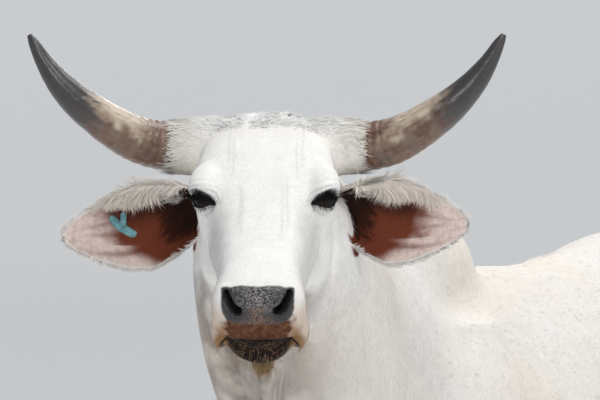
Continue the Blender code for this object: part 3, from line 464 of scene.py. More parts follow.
def section(top, bottom, side, half_width, level, over, under, corners):
    """A ring of corners round a body: a superellipse through its top and its bottom."""
    top, bottom, side = np.array(top), np.array(bottom), np.array(side)
    centre = bottom + (top - bottom) * level
    angle = np.arange(corners) * 2 * math.pi / corners
    across, up = np.cos(angle), np.sin(angle)
    power = np.where(up >= 0, over, under)
    sideways = half_width * np.sign(across) * np.abs(across) ** (2 / power)
    reach = np.abs(up) ** (2 / power)
    ring = centre + sideways[:, None] * side
    ring = ring + np.where(up >= 0, reach, 0)[:, None] * (top - centre)
    return ring + np.where(up < 0, reach, 0)[:, None] * (bottom - centre)


def loft(rings):
    """Points and faces of a closed skin over rings of equal count, with a point at each end."""
    rings = np.array(rings)
    count, corners = rings.shape[:2]
    points = [*rings.reshape(-1, 3), rings[0].mean(0), rings[-1].mean(0)]
    first, last = count * corners, count * corners + 1
    faces = []
    for j in range(corners):
        k = (j + 1) % corners
        faces.append((first, k, j))
        faces.append((last, (count - 1) * corners + j, (count - 1) * corners + k))
        for i in range(count - 1):
            here, there = i * corners, (i + 1) * corners
            faces.append((here + j, here + k, there + k, there + j))
    return np.array(points), faces


def profile(rows, count, corners=40):
    """A lengthwise body in its own frame: along, sideways, up."""
    rings = []
    for along, top, bottom, half_width, level, over, under in through(rows, count, [0]):
        ends = (along, 0.0, top), (along, 0.0, bottom), (0.0, 1.0, 0.0)
        rings.append(section(*ends, half_width, level, over, under, corners))
    return loft(rings)


def bent_form(rows, count, corners=40):
    """A body between a top line and a bottom line that both bend in space."""
    rows = through(rows, count, [0, 1, 2, 3, 4, 5])
    ahead = np.gradient((rows[:, 0:3] + rows[:, 3:6]) / 2, axis=0)
    side = np.cross(rows[:, 0:3] - rows[:, 3:6], ahead)
    side /= np.linalg.norm(side, axis=1)[:, None]
    rings = []
    for row, across in zip(rows, side):
        rings.append(section(row[0:3], row[3:6], across, *row[6:10], corners))
    return loft(rings)


def swing(foot, height):
    """How far the stance moves a leg along Y at a height."""
    return STANCE[foot] * max(0.0, 1 - height / LEG_SWING_FROM)


def leg_form(rows, side, foot, count=60, corners=28):
    """A leg on its side of the body, its foot moved along Y by the stance."""
    rings = []
    for height, front, back, sideways, half_width in through(rows, count, [0]):
        move = swing(foot, height)
        ends = (side * sideways, front + move, height), (side * sideways, back + move, height)
        rings.append(section(*ends, (1.0, 0.0, 0.0), half_width, 0.5, 2.1, 2.1, corners))
    return loft(rings)


def tube(path, corners=16):
    """A round body along points with radii: x, y, z, radius."""
    path = np.array(path, float)
    ahead = np.gradient(path[:, :3], axis=0)
    ahead /= np.linalg.norm(ahead, axis=1)[:, None]
    side = np.cross(ahead, TUBE_GUIDE)
    side /= np.linalg.norm(side, axis=1)[:, None]
    up = np.cross(side, ahead)
    angle = np.arange(corners) * 2 * math.pi / corners
    circle = np.cos(angle)[None, :, None] * side[:, None] + np.sin(angle)[None, :, None] * up[:, None]
    return loft(path[:, None, :3] + path[:, None, 3:4] * circle)


def ellipsoid(centre, radii, turn=Matrix.Identity(3), segments=24, rings=14):
    """An ellipsoid with its own axes turned by a matrix."""
    bm = bmesh.new()
    bmesh.ops.create_uvsphere(bm, u_segments=segments, v_segments=rings, radius=1.0)
    reach = turn.to_4x4() @ Matrix.Diagonal((*radii, 1.0))
    bmesh.ops.transform(bm, matrix=Matrix.Translation(centre) @ reach, verts=bm.verts)
    points = np.array([v.co for v in bm.verts])
    faces = [tuple(v.index for v in f.verts) for f in bm.faces]
    bm.free()
    return points, faces


def placed(form, frame):
    """A form moved into the part's frame."""
    points, faces = form
    matrix = np.array(frame)
    return points @ matrix[:3, :3].T + matrix[:3, 3], faces


def joined(forms):
    """Several forms as one."""
    points, faces, start = [], [], 0
    for form_points, form_faces in forms:
        points.append(form_points)
        faces += [tuple(c + start for c in face) for face in form_faces]
        start += len(form_points)
    return np.concatenate(points), faces


def head_frame():
    """The head's frame: forward along the face, left, and up out of the forehead."""
    level = Vector((math.sin(HEAD_YAW), -math.cos(HEAD_YAW), 0.0))
    forward = level * math.cos(FACE_DIP) - Vector((0, 0, math.sin(FACE_DIP)))
    left = Vector((math.cos(HEAD_YAW), math.sin(HEAD_YAW), 0.0))
    axes = Matrix((forward, left, forward.cross(left))).transposed()
    return Matrix.Translation(POLL) @ axes.to_4x4()


# Flesh


def head_pair(centre, radii, turn_deg=0.0, lean_deg=0.0):
    """The same ellipsoid on both sides of the head, turned in plan and leaned in profile."""
    forms = []
    for side in (1, -1):
        turn = Matrix.Rotation(math.radians(side * turn_deg), 3, "Z")
        turn = turn @ Matrix.Rotation(math.radians(lean_deg), 3, "Y")
        forms.append(ellipsoid((centre[0], side * centre[1], centre[2]), radii, turn))
    return forms


def mirrored(rows, side):
    """Rows of the head's left side, or the same on its right side."""
    return [(row[0], side * row[1], *row[2:]) for row in rows]


def head_forms():
    """The overlapping forms that make up the head, without ears, horns and eyes."""
    lid = EYE_RADIUS + LID_THICKNESS
    forms = [profile(SKULL, 60), profile(MUZZLE, 30), profile(LOWER_LIP, 20)]
    forms += head_pair((0.150, 0.066, -0.142), (0.098, 0.036, 0.076))  # chewing muscle
    forms += head_pair((0.166, 0.087, -0.022), (0.052, 0.027, 0.026), 6)  # brow
    forms += head_pair(EYE_CENTRE, (lid, lid, lid))
    forms += head_pair((0.262, 0.062, -0.088), (0.075, 0.018, 0.018), -10)  # cheek ridge
    forms += head_pair((0.430, 0.0575, -0.103), (0.034, 0.0135, 0.0265), -4, -8)  # lip lobe
    forms += head_pair((0.462, 0.0440, -0.030), (0.024, 0.018, 0.026), 20)  # nostril wing
    forms += [tube(mirrored(COLLAR, side), 24) for side in (1, -1)]
    return [placed(form, head_frame()) for form in forms]


def neck_forms():
    """The neck, and the loose skin that hangs under it in slow waves."""
    sheet = []
    for row, share in zip(through(DEWLAP, 60, [0, 1, 2]), np.linspace(0, 1, 60)):
        row[3] += DEWLAP_WAVE * math.sin(2 * math.pi * DEWLAP_WAVES * share) * math.sin(math.pi * share)
        sheet.append((*row, 0.5, 2.0, 1.7))
    return [bent_form(NECK, 70), bent_form(sheet, 120, 24)]


def body_forms():
    """The overlapping forms of the trunk, the hump and the legs."""
    lean = Matrix.Rotation(HUMP_LEAN, 3, "X")
    forms = [placed(profile(TORSO, 70), ALONG_BODY), ellipsoid(HUMP_CENTRE, HUMP_RADII, lean)]
    forms.append(ellipsoid((0.0, -0.690, 0.760), (0.125, 0.120, 0.150)))  # brisket
    forms.append(ellipsoid((0.0, 0.130, 0.585), (0.013, 0.120, 0.038)))  # navel fold
    for side, name in SIDES:
        for foot, rows in (("fore_" + name, FORELEG), ("hind_" + name, HINDLEG)):
            forms.append(leg_form(rows, side, foot))
        forms.append(ellipsoid((side * 0.150, -0.655, 0.930), (0.055, 0.055, 0.085)))  # shoulder
        forms.append(ellipsoid((side * 0.175, -0.430, 0.900), (0.058, 0.110, 0.130)))  # triceps
        forms.append(ellipsoid((side * 0.170, 0.530, 1.200), (0.062, 0.110, 0.066)))  # hook
        forms.append(ellipsoid((side * 0.088, 0.825, 1.180), (0.038, 0.060, 0.050)))  # pin
        forms.append(ellipsoid((side * 0.165, 0.690, 1.010), (0.090, 0.180, 0.200)))  # haunch
        forms.append(ellipsoid((side * 0.178, 0.500, 0.845), (0.058, 0.085, 0.105)))  # stifle
    return forms


def dewclaws():
    """The two small claws behind each fetlock."""
    for side, name in SIDES:
        for foot, rows in (("fore_" + name, FORELEG), ("hind_" + name, HINDLEG)):
            height, back, sideways = (rows[-3][k] for k in (0, 2, 3))
            place = back + swing(foot, height) + 0.004
            for across in (DEWCLAW_SPREAD, -DEWCLAW_SPREAD):
                yield ellipsoid((side * sideways + across, place, DEWCLAW_HEIGHT), DEWCLAW_RADII)


def fill_creases(obj, reach, size):
    """Fills the creases between fused forms, and leaves what stands out as it is."""
    mesh = obj.data
    ends = np.empty(len(mesh.edges) * 2, np.int32)
    mesh.edges.foreach_get("vertices", ends)
    ends = ends.reshape(-1, 2)
    start, end = np.concatenate([ends, ends[:, ::-1]]).T
    count = len(mesh.vertices)
    links = np.bincount(start, minlength=count)[:, None]
    points = np.empty(count * 3)
    normals = np.empty(count * 3)
    mesh.vertices.foreach_get("co", points)
    points = points.reshape(-1, 3)

    def pull():
        near = [np.bincount(start, points[end, k], minlength=count) for k in range(3)]
        return np.stack(near, axis=1) / links - points

    for turn in range(int((reach / size) ** 2)):
        if turn % 4 == 0:
            mesh.vertices.foreach_set("co", points.ravel())
            mesh.update()
            mesh.vertices.foreach_get("normal", normals)
            out = normals.reshape(-1, 3)
        rise = (pull() * out).sum(1)
        points = points + out * np.maximum(rise, 0)[:, None]
    for weight in (0.5, -0.52, 0.5, -0.52, 0.4):
        points = points + weight * pull()
    mesh.vertices.foreach_set("co", points.ravel())
    mesh.update()


def fused(name, forms, voxel, reach):
    """One closed, blended skin over overlapping forms."""
    obj = object_of(name, joined(forms))
    step = obj.modifiers.new("fuse", "REMESH")
    step.mode = "VOXEL"
    step.voxel_size = voxel
    largest_shell(baked(obj))
    fill_creases(obj, reach, voxel)
    return obj


def form_of(obj):
    """The points and faces of an object, which is then removed."""
    points = np.array([v.co for v in obj.data.vertices])
    faces = [tuple(p.vertices) for p in obj.data.polygons]
    discard(obj)
    return points, faces


def eye_frame(side):
    """The eye's axes in the head's frame: along its opening, out of it, and across it."""
    out = Vector((EYE_LOOK[0], side * EYE_LOOK[1], EYE_LOOK[2])).normalized()
    sky = Vector((-math.sin(FACE_DIP), 0.0, math.cos(FACE_DIP)))
    along = out.cross(sky).normalized()
    turn = Matrix.Rotation(-side * EYE_TILT, 3, out)
    return Matrix((turn @ along, out, turn @ along.cross(out))).transposed()


def ear_axes(side):
    """The ear's root, and its directions out, up and to the front."""
    frame = head_frame()
    root = np.array(frame @ Vector((EAR_ROOT[0], side * EAR_ROOT[1], EAR_ROOT[2])))
    out = side * np.array(frame.to_3x3().col[1])
    level = np.array((math.sin(HEAD_YAW), -math.cos(HEAD_YAW), 0.0))
    droop, sweep = np.radians(EAR_LIE[side])
    axis = math.cos(droop) * out - math.sin(droop) * np.array((0.0, 0.0, 1.0))
    axis = math.cos(sweep) * axis - math.sin(sweep) * level
    ahead = level - axis * (level @ axis)
    ahead /= np.linalg.norm(ahead)
    up = np.cross(ahead, axis)
    return root, axis, up * np.sign(up[2]), ahead


def ear_shape(t):
    """Widths above and below the ear's axis, its curl and its thickness, at a share of its length."""
    shares, *columns = zip(*EAR)
    return [float(np.interp(t, shares, column)) for column in columns]


def ear_point(side, t, v, lift):
    """A point of the ear: t along it, v from its lower edge to its upper, lift off its middle."""
    root, axis, up, ahead = ear_axes(side)
    above, below, curl, _ = ear_shape(t)
    curl = math.radians(curl)
    bend = (above if v > 0 else below) / math.sin(min(curl, math.pi / 2))
    angle = v * curl
    normal = math.cos(angle) * ahead - math.sin(angle) * up
    hollow = math.sin(angle) * up + (1 - math.cos(angle)) * ahead
    sag = -0.012 * math.sin(math.pi * t) * up
    return root + axis * EAR_LENGTH * t + sag + bend * hollow + normal * lift


def sheet_between(front, back):
    """A closed thin sheet between two grids of points."""
    rows, columns = front.shape[:2]
    points = np.concatenate([front.reshape(-1, 3), back.reshape(-1, 3)])
    under = rows * columns
    faces = []
    for i in range(rows - 1):
        for j in range(columns - 1):
            a, b = i * columns + j, (i + 1) * columns + j
            for start in (0, under):
                faces.append((start + a, start + b, start + b + 1, start + a + 1))
    rim = [i * columns for i in range(rows)]
    rim += [(rows - 1) * columns + j for j in range(1, columns)]
    rim += [i * columns + columns - 1 for i in range(rows - 2, -1, -1)]
    rim += list(range(columns - 2, 0, -1))
    for a, b in zip(rim, rim[1:] + rim[:1]):
        faces.append((a, b, b + under, a + under))
    return points, faces


# Noise, steps and arrays


def smooth_noise(points, size, seed=0):
    """Smooth noise from -1 to 1, with blobs of about the given size."""
    place = points / size + seed * 7.31
    cell = np.floor(place).astype(np.int64)
    part = place - cell
    part = part * part * (3 - 2 * part)
    total = np.zeros(len(points))
    for corner in itertools.product((0, 1), repeat=3):
        at = cell + corner
        mix = (at[:, 0] * 73856093) ^ (at[:, 1] * 19349663) ^ (at[:, 2] * 83492791)
        mix = ((mix ^ (mix >> 13)) * 1274126177) & 0x7FFFFFFF
        mix = (mix ^ (mix >> 15)) % 10007
        weight = np.prod(np.where(corner, part, 1 - part), axis=1)
        total += weight * (mix / 5003.0 - 1)
    return total


def layered_noise(points, size, seed=0, layers=3):
    """Noise with finer and fainter layers."""
    layer = range(layers)
    return sum(smooth_noise(points, size / 2**k, seed + k) / 2**k for k in layer)


def step(low, high, value):
    """A smooth step from 0 at low to 1 at high."""
    share = np.clip((value - low) / (high - low), 0.0, 1.0)
    return share * share * (3 - 2 * share)


def hill(value, middle, reach):
    """A smooth bump that is 1 at the middle."""
    return np.exp(-(((value - middle) / reach) ** 2))


def mixed(first, second, share):
    """Colours or points between the first and the second."""
    return first + (np.asarray(second) - first) * np.asarray(share)[:, None]


def points_of(mesh):
    found = np.empty(len(mesh.vertices) * 3)
    mesh.vertices.foreach_get("co", found)
    return found.reshape(-1, 3)


def normals_of(mesh):
    found = np.empty(len(mesh.vertices) * 3)
    mesh.vertices.foreach_get("normal", found)
    return found.reshape(-1, 3)


def set_points(mesh, points):
    mesh.vertices.foreach_set("co", points.ravel())
    mesh.update()


def relaxed(mesh, weights, turns):
    """Evens out the surface where the weights are above nothing."""
    ends = np.empty(len(mesh.edges) * 2, np.int32)
    mesh.edges.foreach_get("vertices", ends)
    ends = ends.reshape(-1, 2)
    points = points_of(mesh)
    near = (weights[ends] > 0).any(axis=1)
    start, end = np.concatenate([ends[near], ends[near][:, ::-1]]).T
    count = len(points)
    links = np.maximum(np.bincount(start, minlength=count), 1)[:, None]
    share = weights[:, None] * 0.5
    for _ in range(turns):
        mean = [np.bincount(start, points[end, k], minlength=count) for k in range(3)]
        points = points + share * (np.stack(mean, axis=1) / links - points)
    set_points(mesh, points)


HEAD = head_frame()
HEAD_TURN = np.array(HEAD.to_3x3())


def in_head(points):
    """Points in the head's frame: forward, left, up."""
    return (points - np.array(POLL)) @ HEAD_TURN


def from_head(points):
    return points @ HEAD_TURN.T + np.array(POLL)


# The skin


def cut_off(obj, point, normal):
    """Removes what lies beyond a plane, and leaves the cut open."""
    bm = bmesh.new()
    bm.from_mesh(obj.data)
    geom = bm.verts[:] + bm.edges[:] + bm.faces[:]
    bmesh.ops.bisect_plane(bm, geom=geom, plane_co=point, plane_no=normal, clear_outer=True)
    bm.to_mesh(obj.data)
    bm.free()


def capped(obj):
    """Closes an open cut with one face."""
    bm = bmesh.new()
    bm.from_mesh(obj.data)
    bmesh.ops.holes_fill(bm, edges=[e for e in bm.edges if e.is_boundary])
    bm.to_mesh(obj.data)
    bm.free()
    return obj


def ear_form(side, along=64, across=44):
    """The ear's leaf, with folds in its cup and a rolled rim."""
    front, back = [], []
    for t in np.linspace(0, 1, along):
        half = ear_shape(t)[3] / 2 - COAT_DEPTH * 0.6
        ahead, behind = [], []
        for v in np.linspace(-1, 1, across):
            fold = 0.0024 * math.sin(9 * v + 3 * t) * math.sin(math.pi * t) ** 2 * (1 - v * v)
            rim = 1 - 0.55 * v**6
            ahead.append(ear_point(side, t, v * (1 - 0.015), half * rim + fold))
            behind.append(ear_point(side, t, v * (1 - 0.015), -half * rim + fold))
        front.append(ahead)
        back.append(behind)
    return sheet_between(np.array(front), np.array(back))


def tail_form():
    rows = through(TAIL, 140, [0, 1])
    return tube([(0.0, back, height, radius - COAT_DEPTH) for back, height, radius in rows], 24)


def udder_forms():
    forms = [placed(profile(UDDER, 40, 28), ALONG_BODY)]
    for x in (0.040, -0.040):
        for y in (0.505, 0.590):
            path = [(x, y, 0.585 - 0.085 * t, 0.012 - 0.004 * t**2) for t in np.linspace(0, 1, 12)]
            forms.append(tube(path, 12))
    return forms


def refined(obj, spots):
    """Splits the edges near some spots, each a point and a reach."""
    for centre, reach in spots:
        away = np.linalg.norm(points_of(obj.data) - np.array(centre), axis=1)
        bm = bmesh.new()
        bm.from_mesh(obj.data)
        near = away < reach
        edges = [e for e in bm.edges if near[e.verts[0].index] and near[e.verts[1].index]]
        bmesh.ops.subdivide_edges(bm, edges=edges, cuts=1, use_grid_fill=True)
        bm.to_mesh(obj.data)
        bm.free()


def joined_skin():
    """One mesh: the body at its own fineness, and the head and neck much finer."""
    base = fused("base", body_forms() + neck_forms(), BODY_VOXEL, BODY_BLEND)
    point, normal = np.array(JOIN_PLANE)
    front = copy_of(base, "front")
    cut_off(front, point + 0.03 * normal, normal)
    front.modifiers.new("smooth", "SUBSURF").levels = 1
    front = form_of(capped(baked(front)))
    front = fused("front", [front, *head_forms()], HEAD_VOXEL, HEAD_BLEND)
    ears = [object_of("ear", ear_form(side)) for side in (1, -1)]
    boolean(front, ears, "UNION", "MANIFOLD")
    cut_off(front, point, normal)
    rear = fused("rear", [form_of(base), *udder_forms()], BODY_VOXEL, 0.02)
    boolean(rear, [object_of("tail", tail_form())], "UNION", "MANIFOLD")
    cut_off(rear, point + 0.006 * normal, -normal)
    bm = bmesh.new()
    bm.from_mesh(front.data)
    bm.from_mesh(rear.data)
    discard(rear)
    bmesh.ops.bridge_loops(bm, edges=[e for e in bm.edges if e.is_boundary])
    bmesh.ops.recalc_face_normals(bm, faces=bm.faces)
    bm.to_mesh(front.data)
    bm.free()
    front.name = "skin"
    return front


def eye_axes(side):
    """The eye's centre, and its directions along the opening, out and across, in the part's frame."""
    centre = from_head(np.array([[EYE_CENTRE[0], side * EYE_CENTRE[1], EYE_CENTRE[2]]]))[0]
    axes = HEAD_TURN @ np.array(eye_frame(side))
    lean = Matrix.Rotation(-side * LID_TURN, 3, Vector(axes[:, 1]))
    return centre, np.array(lean) @ axes


def lid_distance(along, across):
    """How far a point of the eyeball lies outside the opening between the lids."""
    gaps = []
    for high, way in ((UPPER_LID, 1), (LOWER_LID, -1)):
        radius = (EYE_HALF**2 + high**2) / (2 * high)
        gaps.append(np.hypot(along, across + way * (radius - high)) - radius)
    return np.maximum(*gaps)


def with_lids(points, side):
    """Draws the skin round the eyeball into two lids, with folds and wrinkles above them."""
    centre, axes = eye_axes(side)
    along, out, across = ((points - centre) @ axes).T
    gap = lid_distance(along, across)
    above = step(-0.003, 0.006, across)
    flat = np.hypot(along, across)
    ball = np.sqrt(np.maximum(EYE_RADIUS**2 - flat**2, (0.42 * EYE_RADIUS) ** 2))
    lift = 0.0024 + 0.0022 * above - 0.0066 * step(0.0004, -0.0016, gap)
    lift = lift + 0.0010 * hill(gap, 0.0030, 0.0020)
    keep = step(0.0050, 0.0150, gap)
    level = (ball + lift) * (1 - keep) + out * keep
    level = level - 0.0022 * above * hill(gap, 0.0070, 0.0012)
    for place, depth in ((0.0125, 0.0020), (0.0180, 0.0018), (0.0250, 0.0016)):
        level = level - depth * above * hill(gap + 0.12 * along, place, 0.0012)
    level = level - 0.0010 * (1 - above) * (hill(gap, 0.0065, 0.0010) + 0.7 * hill(gap, 0.0115, 0.0012))
    here = (out > 0.3 * EYE_RADIUS) & (flat < 0.052)
    move = np.where(here, (level - out) * step(0.052, 0.040, flat), 0.0)
    return points + move[:, None] * axes[:, 1]


def nostril_distance(place, side):
    """How far a point of the muzzle lies outside a nostril, a comma that runs up and out."""
    across, up = side * place[:, 1], place[:, 2]
    nearest = np.full(len(place), 1.0)
    for t in np.linspace(0, 1, 12):
        middle = 0.0290 + 0.0150 * t, -0.0325 + 0.0195 * t - 0.0025 * math.sin(math.pi * t)
        radius = 0.0078 - 0.0026 * t**1.5
        nearest = np.minimum(nearest, np.hypot(across - middle[0], up - middle[1]) - radius)
    return nearest


def with_nostrils(points):
    """Sinks the nostrils into the muzzle, with a raised rim."""
    place = in_head(points)
    front = step(0.462, 0.471, place[:, 0])
    for side in (1, -1):
        gap = nostril_distance(place, side)
        sunk = 0.026 * step(0.0004, -0.0070, gap) - 0.0020 * hill(gap, 0.0042, 0.0028)
        place[:, 0] -= sunk * front
        place[:, 1] -= side * 0.35 * np.maximum(sunk, 0) * front
    groove = hill(place[:, 1], 0.0, 0.0022) * step(-0.030, -0.045, place[:, 2])
    groove = groove * step(-0.088, -0.078, place[:, 2])
    place[:, 0] -= 0.0016 * groove * front
    return from_head(place)


def mouth_level(place):
    """How far up a point lies from the line of the mouth, and its way out from the jaw's axis."""
    ahead, across = place[:, 0] - 0.405, place[:, 1]
    angle = np.degrees(np.abs(np.arctan2(across, ahead)))
    drop = LINE_DROP * step(28, 60, angle) ** 1.3 * (1 - 0.3 * step(60, 86, angle))
    return place[:, 2] - MOUTH_LEVEL + drop, angle


def with_mouth(points):
    """Closes the lips on a line round the muzzle, the upper lip over the lower."""
    place = in_head(points)
    level, angle = mouth_level(place)
    out = np.stack([place[:, 0] - 0.405, place[:, 1], 0 * level], axis=1)
    out /= np.maximum(np.linalg.norm(out, axis=1), 0.02)[:, None]
    here = step(112, 100, angle) * step(0.30, 0.34, place[:, 0])
    move = -0.0062 * hill(level, 0.0, 0.0017) + 0.0018 * hill(level, 0.0060, 0.0040)
    lower = step(-0.001, -0.005, level) * step(-0.060, -0.030, level)
    warts = np.maximum(smooth_noise(points, 0.0055, 5), 0) ** 1.5
    cleft = hill(place[:, 1], 0.0, 0.003) * lower * step(-0.02, -0.03, level)
    move = move + 0.0009 * warts * lower - 0.0016 * cleft
    return from_head(place + out * (move * here)[:, None])


def ear_place(points, side):
    """Where points lie on an ear: along it, from its lower to its upper edge, and off its middle."""
    root, axis, up, ahead = ear_axes(side)
    reach = points - root
    t = reach @ axis / EAR_LENGTH
    shares, above, below, curl, _ = (np.array(c) for c in zip(*EAR))
    inside = np.clip(t, 0, 1)
    curl = np.radians(np.interp(inside, shares, curl))
    high = reach @ up + 0.012 * np.sin(math.pi * inside)
    half = np.where(high > 0, np.interp(inside, shares, above), np.interp(inside, shares, below))
    bend = half / np.sin(np.minimum(curl, math.pi / 2))
    off = bend - reach @ ahead
    return t, np.arctan2(high, off) / curl, bend - np.hypot(high, off)


def ear_facing(points, directions, side):
    """Where points lie on an ear, how far they face its open side, and whether they are on it."""
    t, v, lift = ear_place(points, side)
    _, _, up, ahead = ear_axes(side)
    shares, _, _, curl, _ = (np.array(c) for c in zip(*EAR))
    angle = v * np.radians(np.interp(t, shares, curl))
    open_way = np.cos(angle)[:, None] * ahead - np.sin(angle)[:, None] * up
    on_ear = (t > -0.12) * (t < 1.06) * (np.abs(v) < 1.35) * (np.abs(lift) < 0.012)
    return t, v, (directions * open_way).sum(1), on_ear


def along_neck(points):
    """How far behind the poll a point lies, along the neck's line."""
    way = np.array((-0.03, 0.80, -0.30))
    return (points - np.array(POLL)) @ (way / np.linalg.norm(way))


def pleats(points):
    """How deep points lie in the fine upright folds where the turned neck is pressed together."""
    behind = along_neck(points)
    place = in_head(points)
    neck = step(0.02, 0.10, behind) * step(0.52, 0.30, behind) * step(0.14, 0.02, place[:, 0])
    near = step(-0.05, 0.06, points[:, 0]) * step(0.60, 0.95, points[:, 2])
    wave = (behind * 1.15 + 0.10 * points[:, 2] + 0.030 * layered_noise(points, 0.20, 11)) / 0.0145
    strength = 0.55 + 0.60 * smooth_noise(points, 0.05, 23)
    for side in (1, -1):
        t, v, lift = ear_place(points, side)
        near = near * (1 - step(-0.05, 0.05, t) * (t < 1.1) * (np.abs(v) < 1.4) * (np.abs(lift) < 0.015))
    return (1 - np.abs(np.sin(math.pi * wave)) ** 0.7) * np.clip(strength, 0, 1) * neck * near


def with_folds(points, normals):
    """Fine upright folds of the turned neck, and slack folds below."""
    bend = 0.030 * layered_noise(points, 0.20, 11)
    move = -0.0030 * pleats(points)
    slack = step(1.28, 1.08, points[:, 2]) * step(-0.45, -0.62, points[:, 1])
    broad = np.sin((points[:, 1] * 0.8 + points[:, 2] * 0.5 + 0.10 * bend) * 2 * math.pi / 0.052)
    move = move + 0.0030 * broad * slack * smooth_noise(points, 0.16, 31)
    return points + normals * move[:, None]


def shaped(skin):
    """Gives the joined skin its lids, markings, nostrils, mouth and folds."""
    mesh = skin.data
    points = points_of(mesh)
    point, normal = np.array(JOIN_PLANE)
    beyond = (points - point) @ normal / np.linalg.norm(normal)
    seam = hill(beyond, 0.003, 0.018)
    root = np.zeros(len(points))
    for side in (1, -1):
        start, axis, _, _ = ear_axes(side)
        root = np.maximum(root, hill(np.linalg.norm(points - start - 0.02 * axis, axis=1), 0.0, 0.030))
    rump = hill(np.linalg.norm(points - (0.0, 0.86, 1.24), axis=1), 0.0, 0.050)
    weights = np.where(seam > 0.05, seam, 0) + np.where(root > 0.2, root, 0) + np.where(rump > 0.1, rump, 0)
    relaxed(mesh, np.clip(weights, 0, 1), 12)
    points = points_of(mesh)
    depth = np.full(len(points), COAT_DEPTH)
    for side in (1, -1):
        t, v, lift = ear_place(points, side)
        depth = depth * (1 - step(0.08, 0.16, t) * (np.abs(v) < 1.4) * (np.abs(lift) < 0.012))
    set_points(mesh, points - depth[:, None] * normals_of(mesh))
    near_lips = (0.452, -0.070, 0.095), (0.478, -0.040, 0.045)
    spots = [(from_head(np.array([[ahead, 0.0, up]]))[0], reach) for ahead, up, reach in near_lips]
    for side in (1, -1):
        centre, axes = eye_axes(side)
        spots += [(centre + 0.012 * axes[:, 1], 0.034), (centre + 0.014 * axes[:, 1], 0.027)]
    refined(skin, spots)
    points = points_of(mesh)
    for side in (1, -1):
        points = with_lids(points, side)
    set_points(mesh, points)
    marks = markings(points, normals_of(mesh))
    points = with_mouth(with_nostrils(points))
    set_points(mesh, points)
    set_points(mesh, with_folds(points, normals_of(mesh)))
    painted(mesh, *marks)
    return skin


# Markings


